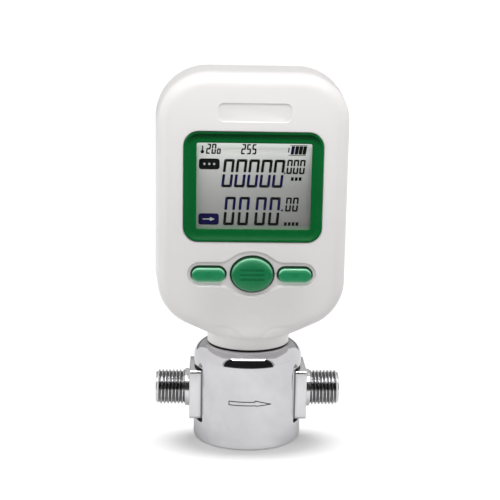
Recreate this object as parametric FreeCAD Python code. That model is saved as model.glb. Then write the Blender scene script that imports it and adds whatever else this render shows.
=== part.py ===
import FreeCAD
import Part
import math
import os

# Gas flow meter: a threaded flow bar through a plated round base, and a
# battery powered display head on a short neck.
# Frame: origin at the centre of the base's bottom face, +Z up, the display
# faces -Y, gas flows towards +X.  All sizes in millimetres.

# ---------------------------------------------------------------- dimensions
# plated base
BASE_R = 20.5
BASE_H = 36.5
BASE_TOP_FILLET = 5.4
BASE_WALL = 2.0
WINDOW_HALF_Y = 11.2
WINDOW_Z0, WINDOW_Z1 = 7.2, 28.4
WINDOW_CORNER_R = 1.0

# flow bar (G 1/4 ends)
AXIS_Z = 17.85
BAR_HALF_X = 22.15
BAR_HALF_Y = 10.0
BAR_Z0, BAR_Z1 = 8.40, 27.20
BAR_BEVEL = 0.7
BAR_END_BEVEL = 0.3
BAR_RELIEF, BAR_RELIEF_X = 0.7, 17.85
COLLAR_R = 7.1
COLLAR_X1 = 23.9
THREAD_R = 6.5785
PORT_X1 = 35.0
THREAD_CHAMFER = 1.1
BORE_R = 4.6
BORE_INNER_R = 3.5
BORE_STEP_X = 15.0

# neck
NECK_R = 15.5
NECK_Z0 = 37.05
NECK_WALL = 2.2
NECK_FILLET = 2.4

# head
FACE_Y = -24.0
BACK_Y = 22.0
HEAD_HALF_W = 35.3
HEAD_TOP = 140.4
TOP_CORNER = (16.3, 121.4, 19.0)
LOW_CORNER = (16.1, 64.6, 19.2)
LOW_SLOPE = math.radians(24.0)
LOW_ARC_R = 43.0
DRAFT = math.tan(math.radians(4.8))
FRONT_EDGE_R = 5.0
BACK_EDGE_R = 3.4
WALL = 2.2

# display
BEZEL_W, BEZEL_Z0, BEZEL_Z1, BEZEL_R = 48.9, 79.4, 118.2, 5.2
BEZEL_PROUD = 0.55
LENS_X0, LENS_X1, LENS_Z0, LENS_Z1 = -19.95, 20.5, 83.6, 114.2
PILL = (0.2, 124.85, 25.5, 6.4)
PILL_DEPTH = 0.6

# buttons
BTN_X, BTN_Z, BTN_W, BTN_H = 15.4, 67.5, 12.3, 5.5
FUN_X, FUN_Z, FUN_A, FUN_B = 0.2, 67.6, 8.05, 6.45
BTN_GAP = 0.3
BTN_TRAVEL = 0.5
RECESS_W, RECESS_H = 45.6, 8.7
RECESS_A, RECESS_B = 10.2, 8.3
RECESS_DEPTH = 0.8
BTN_FACE_Y = -24.7
FUN_FACE_Y = -25.0

# boards
BOARD_Y0, BOARD_Y1 = -14.5, -12.9
BOARD_HALF_W, BOARD_Z0, BOARD_Z1 = 30.3, 59.2, 126.0
BOARD_HOLES = ((-27.5, 74.5), (27.5, 74.5), (-27.5, 123.0), (27.5, 123.0))

# battery bay
CELL_R, CELL_L = 7.15, 49.2
CELL_PITCH = 15.0
CELL_Y = 12.0
BAY_HALF_W, BAY_Z0, BAY_Z1 = 22.8, 64.4, 118.2
BAY_FLOOR_Y = 4.4
DOOR_HALF_W, DOOR_Z0, DOOR_Z1 = 24.6, 62.2, 126.0
DOOR_T = 2.0

# fasteners
CASE_SCREWS = ((-22.0, 131.5), (22.0, 131.5), (-23.5, 55.2), (23.5, 55.2))
NECK_SCREWS = ((-9.5, -5.0), (9.5, -5.0), (-9.5, 5.0), (9.5, 5.0))
PLATE_SCREW_X = 12.0
SENSOR_SCREW_Y = 6.4


def V(x, y, z):
    return FreeCAD.Vector(x, y, z)


def box(x0, x1, y0, y1, z0, z1):
    return Part.makeBox(x1 - x0, y1 - y0, z1 - z0, V(x0, y0, z0))


def cylz(r, z0, z1, x=0.0, y=0.0):
    return Part.makeCylinder(r, z1 - z0, V(x, y, z0), V(0, 0, 1))


def cyly(r, y0, y1, x=0.0, z=0.0):
    return Part.makeCylinder(r, y1 - y0, V(x, y0, z), V(0, 1, 0))


def cylx(r, x0, x1, y=0.0, z=0.0):
    return Part.makeCylinder(r, x1 - x0, V(x0, y, z), V(1, 0, 0))


def cone(r0, r1, h, base, axis):
    return Part.makeCone(r0, r1, h, base, axis)


def fuse(shape, *others):
    out = shape
    for o in others:
        out = out.fuse(o)
    return out


def cut(shape, *others):
    out = shape
    for o in others:
        out = out.cut(o)
    return out


def prism_y(wire, y0, y1):
    """Face bounded by a wire drawn at y = 0, pushed from y0 to y1."""
    face = Part.Face(wire)
    face.translate(V(0, y0, 0))
    return face.extrude(V(0, y1 - y0, 0))


def rrect(cx, cz, w, h, r):
    x0, x1, z0, z1 = cx - w / 2, cx + w / 2, cz - h / 2, cz + h / 2
    k = r * (1 - math.sqrt(0.5))
    line = lambda a, b, c, d: Part.LineSegment(V(a, 0, b), V(c, 0, d)).toShape()
    arc = lambda a, b, c, d, e, f: Part.Arc(V(a, 0, b), V(c, 0, d), V(e, 0, f)).toShape()
    es = [line(x0 + r, z0, x1 - r, z0), arc(x1 - r, z0, x1 - k, z0 + k, x1, z0 + r)]
    if h - 2 * r > 1e-6:
        es.append(line(x1, z0 + r, x1, z1 - r))
    es += [arc(x1, z1 - r, x1 - k, z1 - k, x1 - r, z1), line(x1 - r, z1, x0 + r, z1),
           arc(x0 + r, z1, x0 + k, z1 - k, x0, z1 - r)]
    if h - 2 * r > 1e-6:
        es.append(line(x0, z1 - r, x0, z0 + r))
    es.append(arc(x0, z0 + r, x0 + k, z0 + k, x0 + r, z0))
    return Part.Wire(es)


def rrect_y(cx, cz, w, h, r, y0, y1):
    return prism_y(rrect(cx, cz, w, h, r), y0, y1)


def stadium_y(cx, cz, w, h, y0, y1):
    return prism_y(rrect(cx, cz, w, h, h / 2), y0, y1)


def ellipse_y(cx, cz, a, b, y0, y1):
    e = Part.Ellipse(V(cx + a, 0, cz), V(cx, 0, cz + b), V(cx, 0, cz))
    return prism_y(Part.Wire([e.toShape()]), y0, y1)


def try_fillet(shape, radius, pick, label):
    """Fillet the edges that pick() accepts, at the largest radius that closes."""
    edges = [e for e in shape.Edges if pick(e)]
    for k in (1.0, 0.9, 0.8, 0.6, 0.4):
        try:
            out = shape.makeFillet(radius * k, edges)
            if out.isValid() and out.Volume > 0 and len(out.Solids) == 1:
                if k < 1.0:
                    print("fillet", label, "closed at", round(radius * k, 2))
                return out
        except Exception:
            pass
    print("fillet", label, "left off,", len(edges), "edges")
    return shape


# ------------------------------------------------------------------ outlines
def outline(e, y):
    """Head outline inset by e, as one closed wire in the plane y."""
    sa, ca = math.sin(LOW_SLOPE), math.cos(LOW_SLOPE)
    cx, cz, r = LOW_CORNER
    r -= e
    tx, tz, tr = TOP_CORNER
    tr -= e
    zc = (LOW_CORNER[1] - LOW_CORNER[2] * ca) - (LOW_CORNER[0] + LOW_CORNER[2] * sa - LOW_ARC_R * sa) * math.tan(LOW_SLOPE) + LOW_ARC_R * ca
    R = LOW_ARC_R - e
    t1 = (cx + r * sa, cz - r * ca)
    t2 = (R * sa, zc - R * ca)
    m1 = (cx + r * math.cos(math.radians(-33.0)), cz + r * math.sin(math.radians(-33.0)))
    k = math.sqrt(0.5)
    P = lambda p, s=1: V(s * p[0], y, p[1])
    L = lambda a, b: Part.LineSegment(a, b).toShape()
    A = lambda a, b, c: Part.Arc(a, b, c).toShape()
    right_low, right_high = (cx + r, cz), (tx + tr, tz)
    es = [A(P(t2, -1), V(0, y, zc - R), P(t2)),
          L(P(t2), P(t1)),
          A(P(t1), P(m1), P(right_low)),
          L(P(right_low), P(right_high)),
          A(P(right_high), V(tx + tr * k, y, tz + tr * k), V(tx, y, tz + tr)),
          L(V(tx, y, tz + tr), V(-tx, y, tz + tr)),
          A(V(-tx, y, tz + tr), V(-tx - tr * k, y, tz + tr * k), P(right_high, -1)),
          L(P(right_high, -1), P(right_low, -1)),
          A(P(right_low, -1), P(m1, -1), P(t1, -1)),
          L(P(t1, -1), P(t2, -1))]
    return Part.Wire(es)


def tapered(e0, y0, e1, y1):
    return Part.makeLoft([outline(e0, y0), outline(e1, y1)], True, True)


def at_plane(y, tol=1e-4):
    return lambda e: abs(e.BoundBox.YMin - y) < tol and abs(e.BoundBox.YMax - y) < tol


# -------------------------------------------------------------- head shells
BIG = 200.0
FRONT_HALF = box(-BIG, BIG, -BIG, 0, -BIG, BIG)
BACK_HALF = box(-BIG, BIG, 0, BIG, -BIG, BIG)


def neck_junction(e):
    """The edge where the neck meets the underside of the head."""
    b = e.BoundBox
    if b.ZMin < NECK_Z0 + 2 or b.ZMax > 50:
        return False
    for v in e.Vertexes:
        if abs(math.hypot(v.X, v.Y) - NECK_R) > 1e-3:
            return False
    mid = e.valueAt((e.FirstParameter + e.LastParameter) / 2)
    return abs(math.hypot(mid.x, mid.y) - NECK_R) < 1e-3


def shell(sign):
    """sign -1: front half, +1: back half.  Outer form with its neck half."""
    y1 = FACE_Y if sign < 0 else BACK_Y
    depth = abs(y1)
    body = tapered(0.0, 0.0, depth * DRAFT, y1)
    body = try_fillet(body, FRONT_EDGE_R if sign < 0 else BACK_EDGE_R, at_plane(y1), "rim %+d" % sign)
    half = FRONT_HALF if sign < 0 else BACK_HALF
    neck = cylz(NECK_R, NECK_Z0, 52.0).common(half)
    body = body.fuse(neck).removeSplitter()
    body = try_fillet(body, NECK_FILLET, neck_junction, "neck %+d" % sign)
    inner_y = y1 - sign * WALL
    cav = tapered(WALL, 0.0, WALL + abs(inner_y) * DRAFT, inner_y)
    cav = try_fillet(cav, 2.0, at_plane(inner_y), "cavity %+d" % sign)
    bore = cylz(NECK_R - NECK_WALL, NECK_Z0 - 1, 50.0).common(half)
    body = body.cut(cav.fuse(bore))
    rib = cut(cylz(NECK_R - NECK_WALL + 0.3, 42.2, 44.7), cylz(8.4, 40.0, 46.0)).common(half)
    return body.fuse(rib)


front = shell(-1)
back = shell(1)

# joint lip: the front shell carries a thin tongue, the back shell its groove
lip_outer = prism_y(outline(1.15, 0.0), -1.0, 1.5)
lip_inner = prism_y(outline(2.0, 0.0), -2.0, 3.0)
lip = lip_outer.cut(lip_inner).cut(box(-17.5, 17.5, -3, 3, 30, 52))
groove = prism_y(outline(1.0, 0.0), 0.0, 1.7).cut(prism_y(outline(2.3, 0.0), -1.0, 3.0)).cut(box(-17.2, 17.2, -3, 3, 30, 52))
front = front.fuse(lip)
back = back.cut(groove)

# front shell: openings and recesses in the face
front = front.cut(rrect_y(0.0, (BEZEL_Z0 + BEZEL_Z1) / 2, BEZEL_W + 0.2, BEZEL_Z1 - BEZEL_Z0 + 0.2, BEZEL_R + 0.1, -30, -18))
panel = stadium_y(0.0, BTN_Z, RECESS_W, RECESS_H, FACE_Y - 3, FACE_Y + RECESS_DEPTH)
panel = panel.fuse(ellipse_y(FUN_X, FUN_Z, RECESS_A, RECESS_B, FACE_Y - 3, FACE_Y + RECESS_DEPTH)).removeSplitter()
panel = try_fillet(panel, 2.0, lambda e: len(e.Vertexes) == 2 and abs(e.Vertexes[0].X - e.Vertexes[1].X) < 1e-4
                   and abs(e.Vertexes[0].Z - e.Vertexes[1].Z) < 1e-4 and abs(abs(e.Vertexes[0].X - FUN_X) - 9.0) < 1.5, "recess corners")
front = front.cut(panel)
for sx in (-1, 1):
    front = front.cut(stadium_y(sx * BTN_X, BTN_Z, BTN_W + 2 * BTN_GAP, BTN_H + 2 * BTN_GAP, -30, -18))
front = front.cut(ellipse_y(FUN_X, FUN_Z, FUN_A + BTN_GAP, FUN_B + BTN_GAP, -30, -18))
front = front.cut(stadium_y(PILL[0], PILL[1], PILL[2], PILL[3], FACE_Y - 3, FACE_Y + PILL_DEPTH))

# front shell: bosses for the case screws and for the board
for x, z in CASE_SCREWS:
    boss = cyly(3.0, FACE_Y + 1.5, 0.0, x, z).cut(cyly(1.3, -13.0, 1.0, x, z))
    front = front.fuse(boss)
for x, z in BOARD_HOLES:
    boss = cyly(2.2, FACE_Y + 1.5, BOARD_Y0, x, z)
    front = front.fuse(boss).cut(cyly(1.0, BOARD_Y0 - 6.0, BOARD_Y0 + 1, x, z))
front = front.cut(cyly(1.3, -13.0, 1.0, *CASE_SCREWS[0]))

# back shell: battery bay, screw towers, door seat
bay_wall = 1.6
bay = box(-BAY_HALF_W - bay_wall, BAY_HALF_W + bay_wall, BAY_FLOOR_Y - bay_wall, BACK_Y - 1.0, BAY_Z0 - bay_wall, BAY_Z1 + bay_wall)
back = back.fuse(bay)
for x, z in CASE_SCREWS:
    back = back.fuse(cyly(4.0, 0.0, BACK_Y - 1.0, x, z))
tower = cyly(3.2, BAY_FLOOR_Y - bay_wall, BACK_Y - 1.0, 0.0, 122.6)
back = back.fuse(tower)
back = back.cut(box(-BAY_HALF_W, BAY_HALF_W, BAY_FLOOR_Y, 30, BAY_Z0, BAY_Z1))
back = back.cut(rrect_y(0.0, (DOOR_Z0 + DOOR_Z1) / 2, 2 * DOOR_HALF_W + 0.5, DOOR_Z1 - DOOR_Z0 + 0.5, 3.2, BACK_Y - DOOR_T - 0.05, 30))
for x, z in CASE_SCREWS:
    back = back.cut(cyly(1.6, -1.0, 30.0, x, z)).cut(cyly(2.95, 10.0, 30.0, x, z))
back = back.cut(cyly(1.3, 12.0, 30.0, 0.0, 122.6))
# seat for the door's two tabs, in the wall below the bay
for sx in (-1, 1):
    back = back.cut(box(sx * 14 - 3.2, sx * 14 + 3.2, BACK_Y - 3.5, BACK_Y - DOOR_T, 59.6, 64.6))

front_cover = front.removeSplitter()
rear_cover = back.removeSplitter()

# ------------------------------------------------------------ display stack
zc = (BEZEL_Z0 + BEZEL_Z1) / 2
hz = BEZEL_Z1 - BEZEL_Z0
lens_cx, lens_cz = (LENS_X0 + LENS_X1) / 2, (LENS_Z0 + LENS_Z1) / 2
lens_w, lens_h = LENS_X1 - LENS_X0, LENS_Z1 - LENS_Z0
bezel = rrect_y(0.0, zc, BEZEL_W, hz, BEZEL_R, FACE_Y - BEZEL_PROUD, FACE_Y + WALL)
bezel = try_fillet(bezel, 0.5, at_plane(FACE_Y - BEZEL_PROUD), "bezel rim")
bezel = bezel.fuse(rrect_y(0.0, zc, BEZEL_W + 2.6, hz + 2.6, BEZEL_R + 1.3, FACE_Y + WALL, FACE_Y + WALL + 1.0))
bezel = bezel.cut(rrect_y(lens_cx, lens_cz, lens_w, lens_h, 0.8, -30, -10))
# sloping inner band, from near the rim down to a flat ledge round the glass
slope = Part.makeLoft([rrect(0.0, zc, BEZEL_W - 1.6, hz - 1.6, BEZEL_R - 0.8).translated(V(0, FACE_Y - BEZEL_PROUD - 0.01, 0)),
                       rrect(lens_cx, lens_cz, lens_w + 1.9, lens_h + 1.9, 1.6).translated(V(0, FACE_Y + 0.75, 0))], True, True)
bezel = bezel.cut(slope)
# seat for the clear window at the back of the ring
bezel = bezel.cut(rrect_y(lens_cx, lens_cz, lens_w + 3.2, lens_h + 3.2, 1.8, FACE_Y + 1.75, -10))
display_bezel = bezel

display_window = rrect_y(lens_cx, lens_cz, lens_w + 3.0, lens_h + 3.0, 1.7, FACE_Y + 1.75, FACE_Y + 2.95)
lcd_panel = box(lens_cx - 22.6, lens_cx + 22.6, FACE_Y + 3.3, FACE_Y + 6.0, lens_cz - 17.6, lens_cz + 17.6)
backlight = box(lens_cx - 22.0, lens_cx + 22.0, FACE_Y + 6.0, FACE_Y + 8.4, lens_cz - 14.4, lens_cz + 14.4)
contact_strips = Part.makeCompound([box(lens_cx - 20.0, lens_cx + 20.0, FACE_Y + 6.0, BOARD_Y0, lens_cz + 15.0, lens_cz + 17.2),
                                    box(lens_cx - 20.0, lens_cx + 20.0, FACE_Y + 6.0, BOARD_Y0, lens_cz - 17.2, lens_cz - 15.0)])

# ------------------------------------------------------------------- boards
main_board = rrect_y(0.0, (BOARD_Z0 + BOARD_Z1) / 2, 2 * BOARD_HALF_W, BOARD_Z1 - BOARD_Z0, 7.0, BOARD_Y0, BOARD_Y1)
for x, z in BOARD_HOLES:
    main_board = main_board.cut(cyly(1.4, -20, 0, x, z))


def pan_screw_y(x, z, head_y, direction, head_r, head_h, shank_r, length):
    """Pan head screw along Y; direction is the way the shank points."""
    if direction < 0:
        head = cyly(head_r, head_y, head_y + head_h, x, z)
        head = try_fillet(head, head_h * 0.45, at_plane(head_y + head_h), "screw head")
        shank = cyly(shank_r, head_y - length, head_y, x, z)
        slot = fuse(box(x - head_r * 0.62, x + head_r * 0.62, head_y + head_h * 0.45, head_y + head_h + 1, z - 0.3, z + 0.3),
                    box(x - 0.3, x + 0.3, head_y + head_h * 0.45, head_y + head_h + 1, z - head_r * 0.62, z + head_r * 0.62))
    else:
        raise ValueError("only -Y screws are used")
    return head.fuse(shank).cut(slot)


board_screws = Part.makeCompound([pan_screw_y(x, z, BOARD_Y1, -1, 2.0, 1.4, 0.97, 6.6) for x, z in BOARD_HOLES])
controller_chip = box(-7.0, 7.0, BOARD_Y1, BOARD_Y1 + 1.6, 92.0, 106.0)
board_connector = box(-6.0, 6.0, BOARD_Y1, BOARD_Y1 + 4.2, 66.0, 71.0).cut(box(-4.6, 4.6, BOARD_Y1 + 1.6, BOARD_Y1 + 3.2, 65.0, 70.0))


def switch(x, z):
    b = box(x - 3.0, x + 3.0, BOARD_Y0 - 3.4, BOARD_Y0, z - 3.0, z + 3.0)
    return b.fuse(cyly(1.7, BOARD_Y0 - 4.3, BOARD_Y0 - 3.4, x, z))


left_switch = switch(-BTN_X, BTN_Z)
right_switch = switch(BTN_X, BTN_Z)
function_switch = switch(FUN_X, FUN_Z)

# ------------------------------------------------------------------ buttons
FLANGE_Y0 = FACE_Y + WALL + 0.3
STEM_END_Y = BOARD_Y0 - 4.3 - BTN_TRAVEL - 0.1


def side_button(sx):
    x = sx * BTN_X
    cap = stadium_y(x, BTN_Z, BTN_W, BTN_H, BTN_FACE_Y, FLANGE_Y0)
    cap = try_fillet(cap, 0.9, at_plane(BTN_FACE_Y), "button rim")
    cap = cap.fuse(stadium_y(x, BTN_Z, BTN_W + 1.0, BTN_H + 1.6, FLANGE_Y0, FLANGE_Y0 + 0.9))
    return cap.fuse(cyly(1.6, FLANGE_Y0 + 0.9, STEM_END_Y, x, BTN_Z))


left_button = side_button(-1)
right_button = side_button(1)
fun = ellipse_y(FUN_X, FUN_Z, FUN_A, FUN_B, FUN_FACE_Y, FLANGE_Y0)
fun = try_fillet(fun, 1.1, at_plane(FUN_FACE_Y), "button rim")
fun = fun.fuse(ellipse_y(FUN_X, FUN_Z, FUN_A + 0.0, FUN_B + 1.2, FLANGE_Y0, FLANGE_Y0 + 0.9))
function_button = fun.fuse(cyly(1.6, FLANGE_Y0 + 0.9, STEM_END_Y, FUN_X, FUN_Z))

# ------------------------------------------------------------------ battery
cell_z0 = BAY_Z0 + 2.2


def cell(x, up):
    body = cylz(CELL_R, cell_z0, cell_z0 + CELL_L, x, CELL_Y)
    body = try_fillet(body, 0.8, lambda e: abs(e.BoundBox.ZLength) < 1e-4, "cell rim")
    if up:
        nub = cylz(2.7, cell_z0 + CELL_L - 0.1, cell_z0 + CELL_L + 1.2, x, CELL_Y)
    else:
        nub = cylz(2.7, cell_z0 - 1.2, cell_z0 + 0.1, x, CELL_Y)
    return body.fuse(nub)


battery_1 = cell(-CELL_PITCH, True)
battery_2 = cell(0.0, False)
battery_3 = cell(CELL_PITCH, True)


def leaf(x, z_wall, s):
    """Bent spring strip between the bay wall and a cell's flat end."""
    strip = box(x - 5.0, x + 5.0, 6.0, 18.0, min(z_wall, z_wall + s * 0.35), max(z_wall, z_wall + s * 0.35))
    prof = [V(x - 3.0, 6.6, z_wall + s * 0.35), V(x - 3.0, 12.0, z_wall + s * 2.19), V(x - 3.0, 17.4, z_wall + s * 0.35),
            V(x - 3.0, 16.4, z_wall + s * 0.35), V(x - 3.0, 12.0, z_wall + s * 1.84), V(x - 3.0, 7.6, z_wall + s * 0.35)]
    bow = Part.Face(Part.makePolygon(prof + [prof[0]])).extrude(V(6.0, 0, 0))
    return strip.fuse(bow)


contact_springs = Part.makeCompound([leaf(-CELL_PITCH, BAY_Z0, 1), leaf(CELL_PITCH, BAY_Z0, 1), leaf(0.0, BAY_Z1, -1)])


def plate(x, z_wall, s):
    a, b = sorted((z_wall, z_wall + s * 0.4))
    return box(x - 5.0, x + 5.0, 6.0, 18.0, a, b)


contact_plates = Part.makeCompound([plate(-CELL_PITCH, BAY_Z1, -1), plate(CELL_PITCH, BAY_Z1, -1), plate(0.0, BAY_Z0, 1)])

door = rrect_y(0.0, (DOOR_Z0 + DOOR_Z1) / 2, 2 * DOOR_HALF_W, DOOR_Z1 - DOOR_Z0, 3.0, BACK_Y - DOOR_T, BACK_Y)
door = try_fillet(door, 0.4, at_plane(BACK_Y), "door rim")
for sx in (-1, 1):
    door = door.fuse(box(sx * 14 - 3.0, sx * 14 + 3.0, BACK_Y - 3.3, BACK_Y - DOOR_T, 60.2, 64.2))
door = door.cut(cyly(1.6, 0, 30, 0.0, 122.6)).cut(cyly(2.5, BACK_Y - 1.1, 30, 0.0, 122.6))
for i in range(5):
    door = door.cut(box(-7.0, 7.0, BACK_Y - 0.4, BACK_Y + 1, 112.0 - 1.6 * i, 112.8 - 1.6 * i))
battery_door = door
door_screw = pan_screw_y(0.0, 122.6, BACK_Y - 1.1, -1, 2.3, 1.0, 1.27, 7.0)

case_screws = Part.makeCompound([pan_screw_y(x, z, 10.0, -1, 2.75, 2.0, 1.28, 18.0) for x, z in CASE_SCREWS])

# --------------------------------------------------------------------- neck
neck_gasket = cylz(NECK_R - 0.35, BASE_H, NECK_Z0).cut(cylz(NECK_R - NECK_WALL + 0.1, BASE_H - 1, NECK_Z0 + 1))
post = fuse(cylz(13.1, BASE_H, BASE_H + 2.0), cylz(8.1, BASE_H, 46.9), cylz(12.6, 44.9, 46.9))
post = post.cut(cylz(6.3, BASE_H - 1, 48.0))
for x, y in NECK_SCREWS:
    post = post.cut(cylz(1.4, BASE_H - 1, BASE_H + 3, x, y))
    post = post.cut(cylz(2.45, BASE_H + 2.0, 48.0, x, y))
neck_post = post


def pan_screw_z(x, y, head_z, head_r, head_h, shank_r, length):
    head = cylz(head_r, head_z, head_z + head_h, x, y)
    head = try_fillet(head, head_h * 0.45, lambda e: abs(e.BoundBox.ZMin - head_z - head_h) < 1e-4, "screw head")
    slot = fuse(box(x - head_r * 0.6, x + head_r * 0.6, y - 0.3, y + 0.3, head_z + head_h * 0.45, head_z + head_h + 1),
                box(x - 0.3, x + 0.3, y - head_r * 0.6, y + head_r * 0.6, head_z + head_h * 0.45, head_z + head_h + 1))
    return head.fuse(cylz(shank_r, head_z - length, head_z, x, y)).cut(slot)


neck_screws = Part.makeCompound([pan_screw_z(x, y, BASE_H + 2.0, 2.2, 1.6, 1.18, 15.4) for x, y in NECK_SCREWS])

# --------------------------------------------------------------------- base
cover = cylz(BASE_R, 0.0, BASE_H)
cover = try_fillet(cover, BASE_TOP_FILLET, lambda e: abs(e.BoundBox.ZMin - BASE_H) < 1e-4, "base shoulder")
cover = try_fillet(cover, 0.5, lambda e: abs(e.BoundBox.ZMax) < 1e-4, "base foot")
cavity = cylz(BASE_R - BASE_WALL, -1.0, BASE_H - BASE_WALL)
cavity = try_fillet(cavity, BASE_TOP_FILLET - BASE_WALL, lambda e: abs(e.BoundBox.ZMin - (BASE_H - BASE_WALL)) < 1e-4, "base inside")
cover = cover.cut(cavity)
for x, y in NECK_SCREWS:
    cover = cover.fuse(cylz(2.6, BAR_Z1, BASE_H - 1.0, x, y))
    cover = cover.cut(cylz(1.4, BAR_Z1 - 1, BASE_H + 1, x, y))
cover = cover.cut(cylz(6.3, 30.0, BASE_H + 1))
window = box(-30, 30, -WINDOW_HALF_Y, WINDOW_HALF_Y, WINDOW_Z0, WINDOW_Z1)
window = window.makeFillet(WINDOW_CORNER_R, [e for e in window.Edges if e.BoundBox.XLength > 50])
inside = box(-15.0, 15.0, -WINDOW_HALF_Y - 1, WINDOW_HALF_Y + 1, WINDOW_Z0 - 1, WINDOW_Z1 + 1)
cover = cover.cut(window.cut(inside))
base_cover = cover.removeSplitter()

# ----------------------------------------------------------------- flow bar
bar = box(-BAR_HALF_X, BAR_HALF_X, -BAR_HALF_Y, BAR_HALF_Y, BAR_Z0, BAR_Z1)
bar = bar.makeChamfer(BAR_BEVEL, [e for e in bar.Edges if e.BoundBox.XLength > BAR_HALF_X])
bar = bar.makeChamfer(BAR_END_BEVEL, [e for e in bar.Edges if e.BoundBox.XLength < 1e-4])
# shallow relief on both sides, so the bar passes the cover's wall freely
for s in (-1, 1):
    a, b = sorted((s * (BAR_HALF_Y - BAR_RELIEF), s * (BAR_HALF_Y + 1)))
    bar = bar.cut(box(-BAR_RELIEF_X, BAR_RELIEF_X, a, b, BAR_Z0 - 1, BAR_Z1 + 1))
for s in (-1, 1):
    a, b = sorted((s * (BAR_HALF_X - 1), s * COLLAR_X1))
    bar = bar.fuse(cylx(COLLAR_R, a, b, 0, AXIS_Z))
    a, b = sorted((s * (COLLAR_X1 - 1), s * (PORT_X1 - THREAD_CHAMFER)))
    bar = bar.fuse(cylx(THREAD_R, a, b, 0, AXIS_Z))
    bar = bar.fuse(cone(THREAD_R, THREAD_R - 0.9, THREAD_CHAMFER, V(s * (PORT_X1 - THREAD_CHAMFER), 0, AXIS_Z), V(s, 0, 0)))
    a, b = sorted((s * BORE_STEP_X, s * (PORT_X1 + 1)))
    bar = bar.cut(cylx(BORE_R, a, b, 0, AXIS_Z))
    bar = bar.cut(cone(BORE_R, BORE_R + 0.5, 0.5, V(s * (PORT_X1 - 0.5), 0, AXIS_Z), V(s, 0, 0)))
bar = bar.cut(cylx(BORE_INNER_R, -BORE_STEP_X - 1, BORE_STEP_X + 1, 0, AXIS_Z))
bar = bar.cut(cylz(3.0, AXIS_Z, BAR_Z1 + 1)).cut(cylz(5.15, BAR_Z1 - 1.5, BAR_Z1 + 1))
for x, y in NECK_SCREWS:
    bar = bar.cut(cylz(1.2, BAR_Z1 - 4.6, BAR_Z1 + 1, x, y))
for s in (-1, 1):
    bar = bar.cut(cylz(1.25, BAR_Z0 - 1, BAR_Z0 + 4.6, s * PLATE_SCREW_X, 0))
    bar = bar.cut(cylz(0.85, BAR_Z1 - 4.0, BAR_Z1 + 1, 0, s * SENSOR_SCREW_Y))
flow_body = bar.removeSplitter()


def screen(s):
    """Perforated disc that evens out the flow, in the wide end of the bore."""
    a, b = sorted((s * (BORE_STEP_X + 0.02), s * (BORE_STEP_X + 1.2)))
    d = cylx(BORE_R - 0.03, a, b, 0, AXIS_Z)
    holes = []
    for i in range(-3, 4):
        for j in range(-3, 4):
            y = i * 1.25 + (0.625 if j % 2 else 0.0)
            z = j * 1.08
            if math.hypot(y, z) < BORE_R - 0.75:
                holes.append(cylx(0.42, a - 1, b + 1, y, AXIS_Z + z))
    return d.cut(Part.makeCompound(holes))


inlet_screen = screen(-1)
outlet_screen = screen(1)


def snap_ring(s):
    a, b = sorted((s * (BORE_STEP_X + 1.25), s * (BORE_STEP_X + 2.05)))
    r = cylx(BORE_R - 0.03, a, b, 0, AXIS_Z).cut(cylx(BORE_R - 0.9, a - 1, b + 1, 0, AXIS_Z))
    return r.cut(box(a - 1, b + 1, -0.9, 0.9, AXIS_Z - BORE_R - 1, AXIS_Z))


screen_rings = Part.makeCompound([snap_ring(-1), snap_ring(1)])

# ------------------------------------------------------------------- sensor
sensor_plug = fuse(cylz(2.93, AXIS_Z + BORE_INNER_R - 0.9, BAR_Z1 - 0.4), cylz(5.0, BAR_Z1 - 0.4, BAR_Z1 + 0.4),
                   box(-1.4, 1.4, -0.5, 0.5, AXIS_Z - 0.4, AXIS_Z + BORE_INNER_R))
sensor_seal = Part.makeTorus(4.25, 0.54, V(0, 0, BAR_Z1 - 0.95))
sensor_board = box(-6.4, 6.4, -8.4, 8.4, BAR_Z1 + 0.4, BAR_Z1 + 1.6)
sensor_connector = box(-5.5, 5.5, -2.4, 2.4, BAR_Z1 + 1.6, BAR_Z1 + 4.8).cut(box(-4.4, 4.4, -0.75, 0.75, BAR_Z1 + 2.8, BAR_Z1 + 6))
for s in (-1, 1):
    sensor_board = sensor_board.cut(cylz(1.1, 20, 40, 0, s * SENSOR_SCREW_Y))
sensor_screws = Part.makeCompound([pan_screw_z(0, s * SENSOR_SCREW_Y, BAR_Z1 + 1.6, 1.6, 1.1, 0.83, 5.2) for s in (-1, 1)])

# flat cable: up through the neck post, forward to the main board
# straight runs joined by tangent arcs, in the plane x = 0
CABLE_T, CABLE_HALF_W = 0.6, 4.0
PATH = [(0.0, BAR_Z1 + 2.8), (0.0, 53.0), (BOARD_Y1 + 2.4, 61.5), (BOARD_Y1 + 2.4, 69.9)]


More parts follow.
